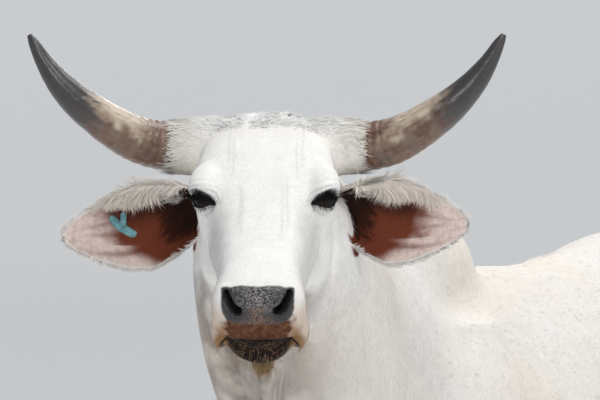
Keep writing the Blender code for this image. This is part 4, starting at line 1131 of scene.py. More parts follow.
def face_markings(points, place, colour):
    """The muzzle, the lips and the shading of the face."""
    forward, left, up = place.T
    grain = layered_noise(points, 0.030, 1)
    level, angle = mouth_level(place)
    edge = 0.0022 * layered_noise(points, 0.008, 4)
    # Painted shade: the side planes of the face are greyed.
    side_plane = step(0.040, 0.066, np.abs(left) + 0.006 * grain) * step(0.19, 0.27, forward)
    colour = mixed(colour, GREY, 0.54 * side_plane * step(0.46, 0.40, forward) * step(-0.16, -0.10, up))
    # Painted shade: grey lines along the edges of the nasal plane and the brow's wrinkles.
    painted_shade_lines = (61, 0.030, 0.24), (63, 0.036, 0.22), (66, 0.047, 0.10), (68, 0.055, 0.07)
    for seed, place_at, reach in painted_shade_lines:
        streak = hill(np.abs(left) + 0.004 * smooth_noise(points, 0.05, seed), place_at, 0.0018)
        streak = streak * step(reach - 0.06, reach, forward) * step(reach + 0.10, reach + 0.05, forward)
        colour = mixed(colour, GREY, 0.34 * streak)
    # The black pad, a rounded block wider above than below
    width = 0.0505 - 0.14 * np.clip(-0.028 - up, 0, 0.1)
    block = (np.abs(left) / width) ** 3.4 + (np.maximum(-0.024 - up, 0) / 0.0305) ** 3.4
    pad_zone = step(1.12, 0.92, block + 14 * edge)
    pad = pad_zone * step(0.4700, 0.4735, forward + 0.25 * edge + 0.10 * np.abs(left)) * step(0.02, 0.0, up)
    lip = step(0.385, 0.405, forward + 2 * edge) * step(-0.042, -0.050, up + edge)
    lip = lip * step(-0.002, 0.001, level) * step(0.0550, 0.0410, np.abs(left) + 2.5 * edge)
    flews = step(0.345, 0.375, forward + 2 * edge) * step(0.0420, 0.0500, np.abs(left) + edge)
    flews = flews * step(0.040, 0.010, level) * step(-0.004, 0.0, level)
    pale = step(0.40, 0.42, forward) * step(-0.015, -0.05, up) * (level > 0)
    colour = mixed(colour, LIP_PALE, 0.55 * pale)
    colour = mixed(colour, LIP, lip)
    colour = mixed(colour, LIP_PALE, lip * 0.14 * np.clip(0.4 + smooth_noise(points, 0.004, 13), 0, 1))
    colour = mixed(colour, FLEW, flews * 0.95)
    deep = lip * step(0.016, 0.002, level) * step(50, 20, angle)
    colour = mixed(colour, LIP_DEEP, 0.75 * deep)
    spots = step(0.25, 0.6, smooth_noise(points, 0.0038, 7) + 0.3 * grain)
    near_pad = step(1.5, 1.05, block) * step(0.425, 0.455, forward) * step(-0.018, -0.030, up)
    colour = mixed(colour, NOSE, np.clip(0.7 * spots * near_pad * (level > 0), 0, 1))
    colour = mixed(colour, NOSE, pad)
    # Painted sheen: a pale mottle on the pad's upper middle, in place of its glints.
    pad_sheen = step(-0.045, -0.015, up) * hill(left, 0.0, 0.030) * pad
    pad_sheen = pad_sheen * step(-0.2, 0.5, smooth_noise(points, 0.0013, 14))
    colour = mixed(colour, NOSE_SHEEN, 0.85 * pad_sheen)
    tan = hill(left, 0.0, 0.010 + 0.016 * step(-0.035, -0.055, up)) * step(-0.016, -0.038, up) * pad
    mottle = step(-0.10, 0.35, smooth_noise(points, 0.0014, 6) + 0.3 * smooth_noise(points, 0.006, 16))
    colour = mixed(colour, NOSE_TAN, tan * mottle * 0.9)
    bowl = (left / 0.0525) ** 2 + ((up + 0.083) / 0.062) ** 2 + 20 * edge
    below = step(0.001, -0.002, level)
    lower = below * step(0.30, 0.33, forward) * step(1.10, 0.96, bowl)
    colour = mixed(colour, LIP_DARK, lower)
    corner = below * hill(np.abs(left), 0.050, 0.018) * step(-0.155, -0.125, up) * step(0.34, 0.37, forward)
    colour = mixed(colour, FLEW, 0.8 * corner * (1 - lower))
    # Painted shade under the hanging corners of the upper lip, beside the lower lip.
    under = below * step(0.036, 0.046, np.abs(left)) * step(-0.040, -0.012, level)
    under = under * step(0.33, 0.36, forward)
    colour = mixed(colour, LIP_DEEP, 0.75 * under * (1 - lower))
    side_lip = lower * step(0.74, 1.00, bowl) * step(0.012, 0.026, np.abs(left))
    colour = mixed(colour, FLEW, 0.75 * side_lip)
    dots = step(0.22, 0.6, smooth_noise(points, 0.0021, 8) + 0.35 * smooth_noise(points, 0.008, 12))
    colour = mixed(colour, LIP_SPECK, 0.50 * dots * lower)
    # Painted shade: a black line in the slit between the lips.
    line = hill(level, 0.0, 0.0020) * step(0.32, 0.36, forward) * step(112, 100, angle)
    line = line * step(-0.16, -0.13, up)
    colour = mixed(colour, BLACK, line * 0.9)
    # Painted shade: black inside the sunk nostrils.
    for side in (1, -1):
        hole = step(0.0004, -0.0016, nostril_distance(place, side)) * step(0.462, 0.468, forward)
        colour = mixed(colour, BLACK, 0.9 * hole)
    return colour, np.clip(pad + 0.4 * lip + 0.3 * flews + 0.3 * lower, 0, 1)


def eye_markings(points, side, colour, bare):
    """Black skin round the lids, which draws out to both corners, painted grey shade beyond it, and painted
    shade in the creases above it.
    """
    centre, axes = eye_axes(side)
    along, out, across = ((points - centre) @ axes).T
    near = (out > 0.0) & (np.hypot(along, across) < 0.06)
    gap = lid_distance(along, across) + 0.0006 * smooth_noise(points, 0.004, 65)
    corner = np.hypot(np.maximum(np.abs(along) - EYE_HALF, 0), across * 2.4) - 0.0075
    beyond = np.abs(along) > 0.8 * EYE_HALF
    gap = np.minimum(gap, np.where(beyond, np.maximum(corner, -0.002) + 0.0012, 1.0))
    wide = gap - 0.0014 * step(0.0, 0.004, across) + 0.0020 * step(0.001, -0.003, across)
    rim = step(0.0056, 0.0028, wide) * near
    # Painted shade: grey round the eye.
    shade = step(0.020, 0.004, gap) * near
    colour = mixed(colour, GREY, 0.55 * shade)
    # Painted shade in the creases above the eye.
    crease = hill(gap, 0.0070, 0.0012) + 0.6 * hill(gap, 0.0125, 0.0012) + 0.5 * hill(gap, 0.0175, 0.0012)
    colour = mixed(colour, EAR_DARK, 0.45 * crease * near * step(-0.004, 0.004, across))
    inner = side * along - EYE_HALF
    drop = across + 0.0015 + 0.55 * np.maximum(inner, 0)
    tear = hill(drop, 0.0, 0.0024) * step(-0.003, 0.002, inner) * step(0.021, 0.008, inner) * near
    colour = mixed(colour, EAR_DARK, 0.62 * tear)
    return mixed(colour, BLACK, rim), np.maximum(bare, rim)


def ear_markings(points, normals, side, colour, bare):
    """The ear's cup: red-brown, near black at its root, pink and veined outside, with a white rim."""
    t, v, facing, on_ear = ear_facing(points, normals, side)
    grain = layered_noise(points, 0.020, 71)
    fine = smooth_noise(points, 0.004, 72)
    on_ear = on_ear * step(-0.10, -0.04, t)
    cup = on_ear * step(-0.15, 0.15, facing) * step(1.00, 0.91, np.abs(v) + 0.05 * t)
    cup = cup * (1 - step(0.10, 0.04, t) * step(-0.10, -0.35, v))
    colour = mixed(colour, EAR_PINK, cup)
    s = t + 0.05 * grain
    low = v + 0.36 * step(0.50, 0.20, t) - 0.25 * step(0.35, 0.6, t)
    body = step(0.80, 0.58, s + 0.10 * (v < -0.3)) * step(-1.0, -0.62, low)
    colour = mixed(colour, EAR_RED, cup * body)
    folds = 0
    for start, slope, width in ((-0.10, 0.25, 0.075), (0.28, 0.10, 0.060), (-0.48, -0.35, 0.085)):
        folds = folds + hill(v, start + slope * (t - 0.5) / 0.5, width + 0.04 * grain)
    folds = folds * step(0.98, 0.60, t) * step(0.3, 0.5, t)
    colour = mixed(colour, EAR_RED, cup * np.clip(folds, 0, 1) * 0.62)
    dark = step(0.34, 0.10, s) * step(-0.75, -0.10, v) + 0.85 * step(0.70, 0.50, s) * step(0.05, 0.42, v)
    colour = mixed(colour, EAR_DARK, cup * np.clip(dark, 0, 1) * 0.97)
    colour = mixed(colour, EAR_CREAM, cup * step(0.88, 0.98, v) * 0.7)
    spots = step(0.52, 0.72, smooth_noise(points, 0.007, 9)) * step(0.45, 0.7, t)
    colour = mixed(colour, EAR_DARK, cup * 0.22 * spots)
    colour = mixed(colour, EAR_RED, cup * 0.25 * np.clip(fine + 0.3, 0, 1))
    tip = on_ear * step(0.86, 0.98, t) * (facing < 0)
    colour = mixed(colour, GREY, 0.15 * tip)
    return colour, bare


def markings(points, normals):
    """The colour of skin and coat at points, painted shade included, and how wet and bare the skin is
    there.
    """
    place = in_head(points)
    forward, left, up = place.T
    grain = layered_noise(points, 0.035, 1)
    speck = smooth_noise(points, 0.0035, 2)
    patch = layered_noise(points, 0.22, 3)
    colour = mixed(np.tile(WHITE, (len(points), 1)), CREAM, np.clip(0.35 + 0.6 * patch, 0, 1))
    on_face = step(0.02, 0.10, forward) * step(-0.24, -0.20, up)
    colour = mixed(colour, FACE_WHITE, on_face * 0.85)
    crown = step(0.05, -0.02, forward) * step(-0.12, -0.05, up) * step(-0.10, -0.02, forward)
    collar = step(0.095, 0.125, np.abs(left)) * step(0.12, 0.08, forward) * step(-0.12, -0.10, up)
    colour = mixed(colour, CREAM, np.clip(0.6 * crown + 0.8 * collar, 0, 1))
    low = step(0.75, 0.35, points[:, 2])
    colour = mixed(colour, LEG_GREY, 0.38 * low * np.clip(0.7 + 0.6 * grain, 0, 1))
    # Brownish stain under the jaw, with painted shade that darkens it further.
    throat = hill(left, -0.035, 0.110) * step(0.08, 0.18, forward)
    throat = throat * step(-0.145, -0.175, up) * step(-0.62, -0.36, up)
    colour = mixed(colour, THROAT_BROWN_AND_SHADE, 0.95 * throat * np.clip(0.8 + 0.5 * grain, 0, 1))
    belly = step(-0.3, -0.9, normals[:, 2]) * step(1.15, 0.85, points[:, 2])
    colour = mixed(colour, CREAM, 0.5 * belly)
    dark = step(0.66, 0.95, speck + 0.25 * grain) * (1 - on_face)
    colour = mixed(colour, SPECK, 0.12 * dark)
    # Painted shade in the depths of the neck's fine folds.
    colour = mixed(colour, SPECK, 0.42 * pleats(points))
    chest = step(-0.55, -0.70, points[:, 1]) * step(1.30, 1.12, points[:, 2]) * (1 - on_face)
    colour = mixed(colour, GREY, 0.28 * chest)
    colour, bare = face_markings(points, place, colour)
    for side in (1, -1):
        colour, bare = eye_markings(points, side, colour, bare)
        colour, bare = ear_markings(points, normals, side, colour, bare)
    teats = step(0.62, 0.60, points[:, 2]) * hill(points[:, 1], 0.55, 0.12) * (np.abs(points[:, 0]) < 0.09)
    bag = (points[:, 2] < 0.70) * hill(points[:, 1], 0.56, 0.13) * (np.abs(points[:, 0]) < 0.10)
    colour = mixed(colour, UDDER_PINK, np.clip(bag * 0.9 + teats, 0, 1) * step(0.2, 0.5, bag))
    return np.clip(colour, 0, 1), bare


def painted(mesh, colour, bare):
    """Stores the markings on a mesh, for its material to read."""
    tint = mesh.attributes.new("tint", "FLOAT_COLOR", "POINT")
    rows = np.concatenate([colour, np.ones((len(colour), 1))], axis=1)
    tint.data.foreach_set("color", rows.astype(np.float32).ravel())
    mesh.attributes.new("bare", "FLOAT", "POINT").data.foreach_set("value", bare.astype(np.float32))


# Tufts


def mesh_of(name, points, triangles):
    """An object from arrays of points and triangles."""
    mesh = bpy.data.meshes.new(name)
    count = len(triangles)
    mesh.vertices.add(len(points))
    mesh.vertices.foreach_set("co", points.astype(np.float32).ravel())
    mesh.loops.add(3 * count)
    mesh.loops.foreach_set("vertex_index", triangles.astype(np.int32).ravel())
    mesh.polygons.add(count)
    mesh.polygons.foreach_set("loop_start", np.arange(0, 3 * count, 3, dtype=np.int32))
    mesh.update(calc_edges=True)
    made = bpy.data.objects.new(name, mesh)
    bpy.context.scene.collection.objects.link(made)
    return made


def scattered(mesh, weight, count, seed):
    """Places on a mesh spread by weight, with the surface's normals there."""
    mesh.calc_loop_triangles()
    corners = np.empty(len(mesh.loop_triangles) * 3, np.int32)
    mesh.loop_triangles.foreach_get("vertices", corners)
    corners = corners.reshape(-1, 3)
    points, normals = points_of(mesh), normals_of(mesh)
    a, b, c = (points[corners[:, k]] for k in range(3))
    share = np.linalg.norm(np.cross(b - a, c - a), axis=1) * weight[corners].mean(axis=1)
    draw = np.random.default_rng(seed)
    total = np.cumsum(share)
    pick = np.searchsorted(total, draw.random(count) * total[-1])
    first, second = draw.random((2, count))
    over = first + second > 1
    first, second = np.where(over, 1 - first, first)[:, None], np.where(over, 1 - second, second)[:, None]
    place = a[pick] + first * (b[pick] - a[pick]) + second * (c[pick] - a[pick])
    out = sum(normals[corners[pick, k]] for k in range(3))
    return place, out / np.linalg.norm(out, axis=1)[:, None]


def unit(rows):
    return rows / np.maximum(np.linalg.norm(rows, axis=1), 1e-9)[:, None]


def coat_guide(skin):
    """A coarse copy of the skin with an unwrap, on which tufts find their place in the bake."""
    guide = copy_of(skin, "guide")
    thin = guide.modifiers.new("thin", "DECIMATE")
    thin.ratio = 9000 / (2 * len(guide.data.vertices))
    baked(guide)
    bpy.context.view_layer.objects.active = guide
    guide.select_set(True)
    bpy.ops.object.mode_set(mode="EDIT")
    bpy.ops.mesh.select_all(action="SELECT")
    bpy.ops.uv.smart_project(angle_limit=1.1, island_margin=0.004)
    bpy.ops.object.mode_set(mode="OBJECT")
    mesh = guide.data
    mesh.calc_loop_triangles()
    loops = np.array([t.loops for t in mesh.loop_triangles])
    corners = np.array([t.vertices for t in mesh.loop_triangles])
    flat = np.empty(len(mesh.loops) * 2)
    mesh.uv_layers.active.data.foreach_get("uv", flat)
    points = points_of(mesh)
    tree = BVHTree.FromPolygons([tuple(p) for p in points], [tuple(c) for c in corners])
    discard(guide)
    return tree, points[corners], flat.reshape(-1, 2)[loops]


def places_in_bake(guide, roots):
    """Where roots lie in the unwrap of the guide."""
    tree, corners, flat = guide
    found = [tree.find_nearest(root)[2] for root in roots.tolist()]
    a, b, c = corners[found].transpose(1, 0, 2)
    along, across, reach = b - a, c - a, roots - a
    dots = [(x * y).sum(1) for x, y in ((along, along), (along, across), (across, across))]
    near = [(reach * along).sum(1), (reach * across).sum(1)]
    size = np.maximum(dots[0] * dots[2] - dots[1] ** 2, 1e-16)
    v = (dots[2] * near[0] - dots[1] * near[1]) / size
    w = (dots[0] * near[1] - dots[1] * near[0]) / size
    share = np.clip(np.stack([1 - v - w, v, w], axis=1), 0, 1)
    share /= share.sum(1)[:, None]
    return (flat[found] * share[:, :, None]).sum(1)


def tufts(
    name, guide, roots, out, way, length, width, rise, sag, colour, rings=2, seed=1, loose=0.22, lean=0.0
):
    """Tapered three-sided tufts that leave the skin at their roots and bend along their way.

    They are lit like the skin that they lie on, or from the side that lean adds.
    """
    draw = np.random.default_rng(seed)
    count = len(roots)
    way = unit(way - out * (way * out).sum(1)[:, None] + 1e-6)
    side = np.cross(out, way)
    turn = draw.normal(0, loose, count)[:, None]
    way, side = way + turn * side, side - turn * way
    length = (np.broadcast_to(length, count) * draw.uniform(0.7, 1.3, count))[:, None]
    width = (np.broadcast_to(width, count) * draw.uniform(0.75, 1.25, count))[:, None]
    rise = (np.broadcast_to(rise, count) * draw.uniform(0.6, 1.4, count))[:, None]
    sag = np.broadcast_to(sag, count)[:, None]
    sway = draw.normal(0, 0.12, count)[:, None]
    levels = np.linspace(0, 1, rings + 1)
    corners = [2 * math.pi * k / 3 + 0.5 for k in range(3)]
    points, shade = [], []
    for t in levels[:-1]:
        bend = way * t + out * (rise * t - sag * t * t) + side * sway * t * t
        centre = roots - out * 0.0006 + length * bend
        wide = width * (1 - t) ** 0.6 / 2
        for angle in corners:
            points.append(centre + wide * (math.cos(angle) * side + 0.6 * math.sin(angle) * out))
            shade.append(t)
    points.append(roots + length * (way + out * (rise - sag) + side * sway))
    shade.append(1.0)
    each = len(points)
    faces = [(2, 1, 0)]
    for ring in range(rings - 1):
        for k in range(3):
            a, b = 3 * ring + k, 3 * ring + (k + 1) % 3
            faces += [(a, b, b + 3), (a, b + 3, a + 3)]
    last = 3 * (rings - 1)
    faces += [(last + k, last + (k + 1) % 3, each - 1) for k in range(3)]
    points = np.stack(points, axis=1).reshape(-1, 3)
    triangles = (np.array(faces)[None] + np.arange(count)[:, None, None] * each).reshape(-1, 3)
    made = mesh_of(name, points, triangles)
    made.data.shade_smooth()
    # Each corner is lit from a little to its own side, and the tip straight on
    aim = [0.35 * (math.cos(angle) * side + math.sin(angle) * out) for angle in corners]
    lit = [out + lean + aim[k % 3] for k in range(each - 1)] + [out + lean]
    lit = np.stack(lit, axis=1).reshape(-1, 3)
    made.data.normals_split_custom_set_from_vertices(unit(lit).tolist())
    tone = draw.normal(1.0, 0.06, count)[:, None]
    rows = np.repeat(np.clip(colour * tone, 0, 1), each, axis=0)
    painted(made.data, rows, np.zeros(len(rows)))
    spread = np.array([((k % 3) / 3 - 0.5, t - 0.5) for k, t in enumerate(shade)]) * BAKE_PATCH
    flat = (places_in_bake(guide, roots)[:, None] + spread[None]).reshape(-1, 2)
    layer = made.data.uv_layers.new(name="OFBake")
    layer.data.foreach_set("uv", flat[triangles.ravel()].astype(np.float32).ravel())
    return made


def coat_way(points):
    """The way the hair lies: down the face, out along the ears, and back and down elsewhere."""
    place = in_head(points)
    behind = along_neck(points)
    way = np.tile((0.0, 1.0, -0.45), (len(points), 1))
    way = mixed(way, (0.0, 0.55, -0.85), step(0.62, 0.10, behind))
    way = mixed(way, (0.0, 0.12, -1.0), step(0.85, 0.65, points[:, 2]))
    level = HEAD_TURN[:, 0]
    spread = np.sign(place[:, 1:2]) * HEAD_TURN[:, 1] * np.clip(np.abs(place[:, 1:2]) / 0.1, 0, 1)
    on_head = step(-0.06, 0.02, place[:, 0]) * step(-0.26, -0.20, place[:, 2])
    face = level + 0.5 * spread
    crown = -0.6 * level + 1.4 * spread + 0.4 * HEAD_TURN[:, 2]
    face = mixed(crown, face, step(0.05, 0.12, place[:, 0]))
    return way * (1 - on_head[:, None]) + face * on_head[:, None]


def body_coat(skin, guide, finish):
    """The short coat, laid close: dense on the head and neck, and sparse behind."""
    mesh = skin.data
    points, normals = points_of(mesh), normals_of(mesh)
    _, bare = markings(points, normals)
    behind = along_neck(points)
    open_skin = np.clip(1 - 2 * bare, 0, 1)
    zones = {
        "coat_head": (step(0.10, 0.0, behind), 0.0052, 0.0010, 10000),
        "coat_neck": (step(0.0, 0.06, behind) * step(0.60, 0.40, behind), 0.0085, 0.0013, 9000),
        "coat_body": (step(0.35, 0.60, behind) * step(0.70, 0.80, points[:, 2]), 0.0120, 0.0017, 11000),
        "coat_legs": (step(0.35, 0.60, behind) * step(0.86, 0.76, points[:, 2]), 0.0095, 0.0014, 7000),
    }
    for seed, (name, (weight, length, width, count)) in enumerate(zones.items()):
        count = count
        roots, out = scattered(mesh, weight * open_skin, count, seed)
        tint, _ = markings(roots, out)
        way = coat_way(roots)
        made = tufts(name, guide, roots, out, way, length, width, 0.15, 0.08, tint * 1.02, seed=seed)
        kept(made, finish, "coat")


def grown(name, skin, guide, finish, weight, count, seed, way, length, width, **lie):
    """Tufts of one kind, rooted where the weight is above nothing."""
    roots, out = scattered(skin.data, weight, count, seed)
    tint, _ = markings(roots, out)
    colour = lie.pop("colour", None)
    if colour is not None:
        tint = mixed(tint, colour, np.full(len(roots), lie.pop("share", 1.0)))
    made = tufts(
        name, guide, roots, out, way(roots, out), length(roots), width, colour=tint, seed=seed, **lie
    )
    return kept(made, finish, "coat")


def head_hair(skin, guide, finish, short):
    """The longer hair of the poll and the collars, and in short's finish the chin's and the lids'."""
    points, normals = points_of(skin.data), normals_of(skin.data)
    forward, left, up = in_head(points).T
    ahead, aside, high = HEAD_TURN.T
    poll = step(0.060, 0.015, forward) * step(-0.07, -0.02, forward) * step(0.118, 0.095, np.abs(left))
    poll = poll * step(-0.045, -0.015, up) * step(-0.2, 0.3, normals @ high)

    def poll_way(roots, out):
        place = in_head(roots)
        swirl = smooth_noise(roots, 0.035, 91)[:, None]
        parted = 0.6 * np.sign(place[:, 1:2]) * (np.abs(place[:, 1:2]) > 0.03)
        return (0.5 * swirl - 0.3) * ahead + (parted + swirl) * aside

    def poll_length(roots):
        place = in_head(roots)
        return 0.011 + 0.007 * smooth_noise(roots, 0.022, 92) + 0.004 * hill(place[:, 1], -0.01, 0.04)

    grown(
        "hair_poll", skin, guide, finish, poll, 8000, 101, poll_way, poll_length, 0.0013,
        rise=0.36, sag=0.16, colour=(0.96, 0.95, 0.93), share=0.9,
    )
    for side, name in SIDES:
        reach = side * left
        collar = step(0.092, 0.112, reach) * (reach < 0.150) * (up > -0.11)
        collar = collar * (np.abs(forward - 0.022) < 0.06) * step(0.85, 0.60, side * normals @ aside)

        def collar_way(roots, out, side=side):
            bend = smooth_noise(roots, 0.018, 93)[:, None]
            return side * aside + 0.35 * bend * ahead - 0.12 * high

        def collar_length(roots, side=side):
            place = side * in_head(roots)[:, 1]
            return (0.013 + 0.016 * step(0.112, 0.134, place)) * (1 + 0.45 * smooth_noise(roots, 0.010, 94))

        grown(
            "hair_collar_" + name, skin, guide, finish, collar, 4500, 103 + side, collar_way, collar_length,
            0.0012, rise=0.20, sag=0.14, rings=3, colour=(0.95, 0.91, 0.85), share=0.75,
        )
        centre, axes = eye_axes(side)
        along, out_of, across = ((points - centre) @ axes).T
        gap = lid_distance(along, across)
        edge = step(0.0045, 0.0025, gap) * step(-0.0005, 0.0008, gap)
        edge = edge * (out_of > 0.3 * EYE_RADIUS) * (np.abs(along) < 0.02)
        lids = ("upper", 1, across > 0.002, 0.0125, 260), ("lower", -1, across < -0.003, 0.0045, 50)
        for lid, turned, share, size, count in lids:

            def lash_way(roots, out, centre=centre, axes=axes, turned=turned):
                offset = (roots - centre) @ axes
                straight = axes[:, 1] * 1.1 + 0.9 * turned * axes[:, 2] - 0.5 * np.array((0, 0, 1.0))
                return straight + 28 * offset[:, :1] * axes[:, 0]

            grown(
                f"lash_{lid}_{name}", skin, guide, short, edge * share, count, 107 + side, lash_way,
                lambda roots, size=size: np.full(len(roots), size), 0.0009,
                rise=0.75, sag=0.35, rings=3, colour=BLACK, share=0.9,
            )
    chin = hill(forward, 0.405, 0.020) * hill(left, 0.0, 0.011) * (up < -0.138) * (up > -0.175)
    grown(
        "hair_chin", skin, guide, short, chin, 1300, 111,
        lambda roots, out: np.tile((0.0, 0.15, -1.0), (len(roots), 1)),
        lambda roots: 0.030 + 0.008 * smooth_noise(roots, 0.01, 95), 0.0013,
        rise=0.35, sag=0.05, rings=3, colour=(0.42, 0.27, 0.12), share=0.95, lean=ahead,
    )
    beard = step(0.36, 0.39, forward) * step(-0.105, -0.125, up) * (up > -0.16)
    beard = beard * step(0.070, 0.060, np.abs(left))
    grown(
        "hair_lips", skin, guide, short, beard, 420, 112,
        lambda roots, out: np.tile((0.0, -0.2, -1.0), (len(roots), 1)),
        lambda roots: 0.011 + 0.004 * smooth_noise(roots, 0.01, 96), 0.0006,
        rise=0.9, sag=0.2, colour=(0.40, 0.28, 0.18), share=0.6,
    )


def ear_hair(skin, guide, finish, short):
    """The hair of the ears: a fringe, a fine rim and the back's, and in short's finish the cup's."""
    points, normals = points_of(skin.data), normals_of(skin.data)
    for side, name in SIDES:
        _, axis, up, ahead = ear_axes(side)
        t, v, facing, near = ear_facing(points, normals, side)
        near = near * (t > 0)
        inside = step(0.1, 0.4, facing) * near

        def across(roots, side=side):
            """The way across the ear, from its upper edge to its lower one, on its curved face."""
            t, v, _ = ear_place(roots, side)
            shares, _, _, curl, _ = (np.array(c) for c in zip(*EAR))
            angle = v * np.radians(np.interp(t, shares, curl))
            return -np.cos(angle)[:, None] * up - np.sin(angle)[:, None] * ahead

        def outward(roots, out):
            drift = 0.22 + 0.30 * smooth_noise(roots, 0.012, 97)[:, None]
            return across(roots) + drift * axis

        def edgeward(roots, out, side=side):
            return -np.sign(ear_place(roots, side)[1])[:, None] * across(roots) + 0.5 * axis

        fringe = near * step(-0.35, 0.0, facing) * step(0.86, 0.94, v)
        fringe = fringe * step(0.10, 0.16, t) * step(0.80, 0.62, t)
        grown(
            "ear_fringe_" + name, skin, guide, finish, fringe, 3600, 121 + side,
            outward,
            lambda roots, side=side: 0.031 - 0.022 * np.abs(ear_place(roots, side)[0] - 0.34) / 0.4
            + 0.009 * smooth_noise(roots, 0.012, 98),
            0.0011, rise=0.62, sag=0.42, rings=3, colour=(0.93, 0.83, 0.74), share=0.95,
            lean=0.7 * ahead + 0.5 * up,
        )
        dark = inside * step(0.02, 0.05, t) * step(0.34, 0.20, t) * step(-0.5, 0.0, v) * step(0.85, 0.70, v)
        grown(
            "ear_dark_" + name, skin, guide, short, dark, 1600, 124 + side,
            lambda roots, out: 0.7 * across(roots) + 0.8 * axis,
            lambda roots: 0.018 + 0.006 * smooth_noise(roots, 0.012, 99),
            0.0012, rise=0.35, sag=0.25, rings=3, colour=EAR_DARK, share=0.7,
        )
        cup = inside * step(0.04, 0.10, t) * step(0.96, 0.9, np.abs(v)) * step(1.0, 0.9, t)
        grown(
            "ear_cup_" + name, skin, guide, short, cup, 3000, 127 + side,
            lambda roots, out: 0.5 * across(roots) + axis,
            lambda roots: np.full(len(roots), 0.0060), 0.0009, rise=0.25, sag=0.15,
        )
        rim = inside * step(0.90, 0.97, np.abs(v) + step(0.93, 1.0, t)) * step(0.14, 0.20, t)
        grown(
            "ear_rim_" + name, skin, guide, finish, rim, 4000, 130 + side,
            edgeward,
            lambda roots: 0.0085 + 0.003 * smooth_noise(roots, 0.012, 90), 0.0009,
            rise=0.25, sag=0.05, colour=(0.92, 0.88, 0.84), share=0.85, lean=1.2 * ahead + 0.3 * up,
        )
        back = near * step(-0.1, -0.4, facing)
        grown(
            "ear_back_" + name, skin, guide, finish, back, 3500, 133 + side,
            lambda roots, out: 0.4 * across(roots) + axis,
            lambda roots: np.full(len(roots), 0.0080), 0.0012, rise=0.2, sag=0.14,
        )


def switch_hair(guide, finish):
    """The long hair of the tail's brush, in strands that hang and part."""
    draw = np.random.default_rng(41)
    count = 4000
    back = TAIL[-1][0]
    drop = draw.uniform(0, 1, count) ** 1.1
    angle = draw.uniform(0, 2 * math.pi, count)
    out = np.stack([np.cos(angle), np.sin(angle), 0 * angle], axis=1)
    roots = np.stack([0 * drop, back + 0 * drop, SWITCH_TOP - 0.21 * drop], axis=1) + 0.011 * out
    length = np.minimum(0.15 + 0.05 * draw.normal(0, 1, count), SWITCH_LENGTH - 0.215 * drop)
    lock = np.sin(5 * angle + 3 * np.round(drop * 4)) * 0.07
    way = np.tile((0.0, 0.0, -1.0), (count, 1)) + lock[:, None] * np.cross(out, (0, 0, 1.0))
    colour = np.tile(SWITCH_BLACK, (count, 1)) * draw.uniform(0.6, 1.6, count)[:, None]
    made = tufts(
        "switch_hair", guide, roots, out, way, np.clip(length, 0.03, 0.2), 0.0024, 0.30, 0.24, colour,
        rings=5, seed=43, loose=0.05,
    )
    kept(made, finish, "switch", "tail_switch")


# Horns, hooves, eyes and tag


def make_horn(side, name, finish):
    """A horn with growth rings near its root, streaked brown and cream, and black outside, painted lighter
    on top and darker underneath, with a painted sheen on the black.
    """
    rings, corners = 200, 56
    rows = through(mirrored(HORN, side), rings, [0, 1, 2])
    points, faces = tube(rows, corners)
    t = np.concatenate([np.repeat(np.linspace(0, 1, rings), corners), [0, 1]])
    centre = np.concatenate([np.repeat(rows[:, :3], corners, axis=0), rows[[0, -1], :3]])
    away = points - centre
    bend = 0.03 * smooth_noise(points, 0.02, 51)
    groove = np.sin(2 * math.pi * (t + bend * 0.35) / 0.042) * step(0.62, 0.20, t)
    fine = layered_noise(points * (1, 0.35, 1), 0.006, 52)
    swell = 0.012 * groove + 0.012 * fine + 0.02 * smooth_noise(points, 0.03, 53)
    points = points + away * swell[:, None]
    streak = layered_noise(away / 0.0035 + t[:, None] * (9.0, 0.0, 5.0), 1.0, 54 + side)
    blot = layered_noise(points, 0.014, 56 + side)
    # Painted light: top is the side that faces up, where light falls; the horn's own cream is painted paler
    # there, its underside darker, and its black reaches further along the underside.
    top = step(-0.50, 0.55, unit(away) @ (-0.54, 0.0, 0.84) + 0.30 * blot)
    cream = np.clip(0.30 + 0.35 * blot + 0.35 * streak, 0, 1)
    colour = mixed(np.tile(HORN_BROWN, (len(t), 1)), HORN_CREAM, cream)
    pale = step(0.26, 0.42, t + 0.04 * blot) * top
    colour = mixed(colour, HORN_PALE, pale * np.clip(0.72 + 0.4 * streak, 0, 1))
    colour = mixed(colour, HORN_BROWN, 0.55 * step(-0.1, 0.6, streak) * (1 - pale))
    # Painted shade darkens the underside.
    underside_shade = step(0.0, 0.7, blot + 0.3 * streak) * step(0.6, 0.2, top) * step(0.10, 0.22, t)
    colour = mixed(colour, HORN_BLACK, 0.55 * underside_shade)
    dark = step(0.53, 0.64, t + 0.060 * streak + 0.03 * blot + 0.07 * (0.5 - top))
    colour = mixed(colour, HORN_BLACK, dark)
    # Painted sheen: grey-brown streaks on the black part.
    colour = mixed(colour, HORN_SHEEN, dark * 0.35 * np.clip(streak, 0, 1))
    made = object_of(name, (from_head(points), faces))
    painted_near(made, from_head(points), colour, 0.0)
    return kept(made, finish, "horn", name)


def painted_near(obj, points, colour, bare):
    """Paints a mesh whose points keep the order of the given ones."""
    assert len(obj.data.vertices) == len(points), (len(obj.data.vertices), len(points))
    painted(obj.data, colour, np.full(len(points), bare))


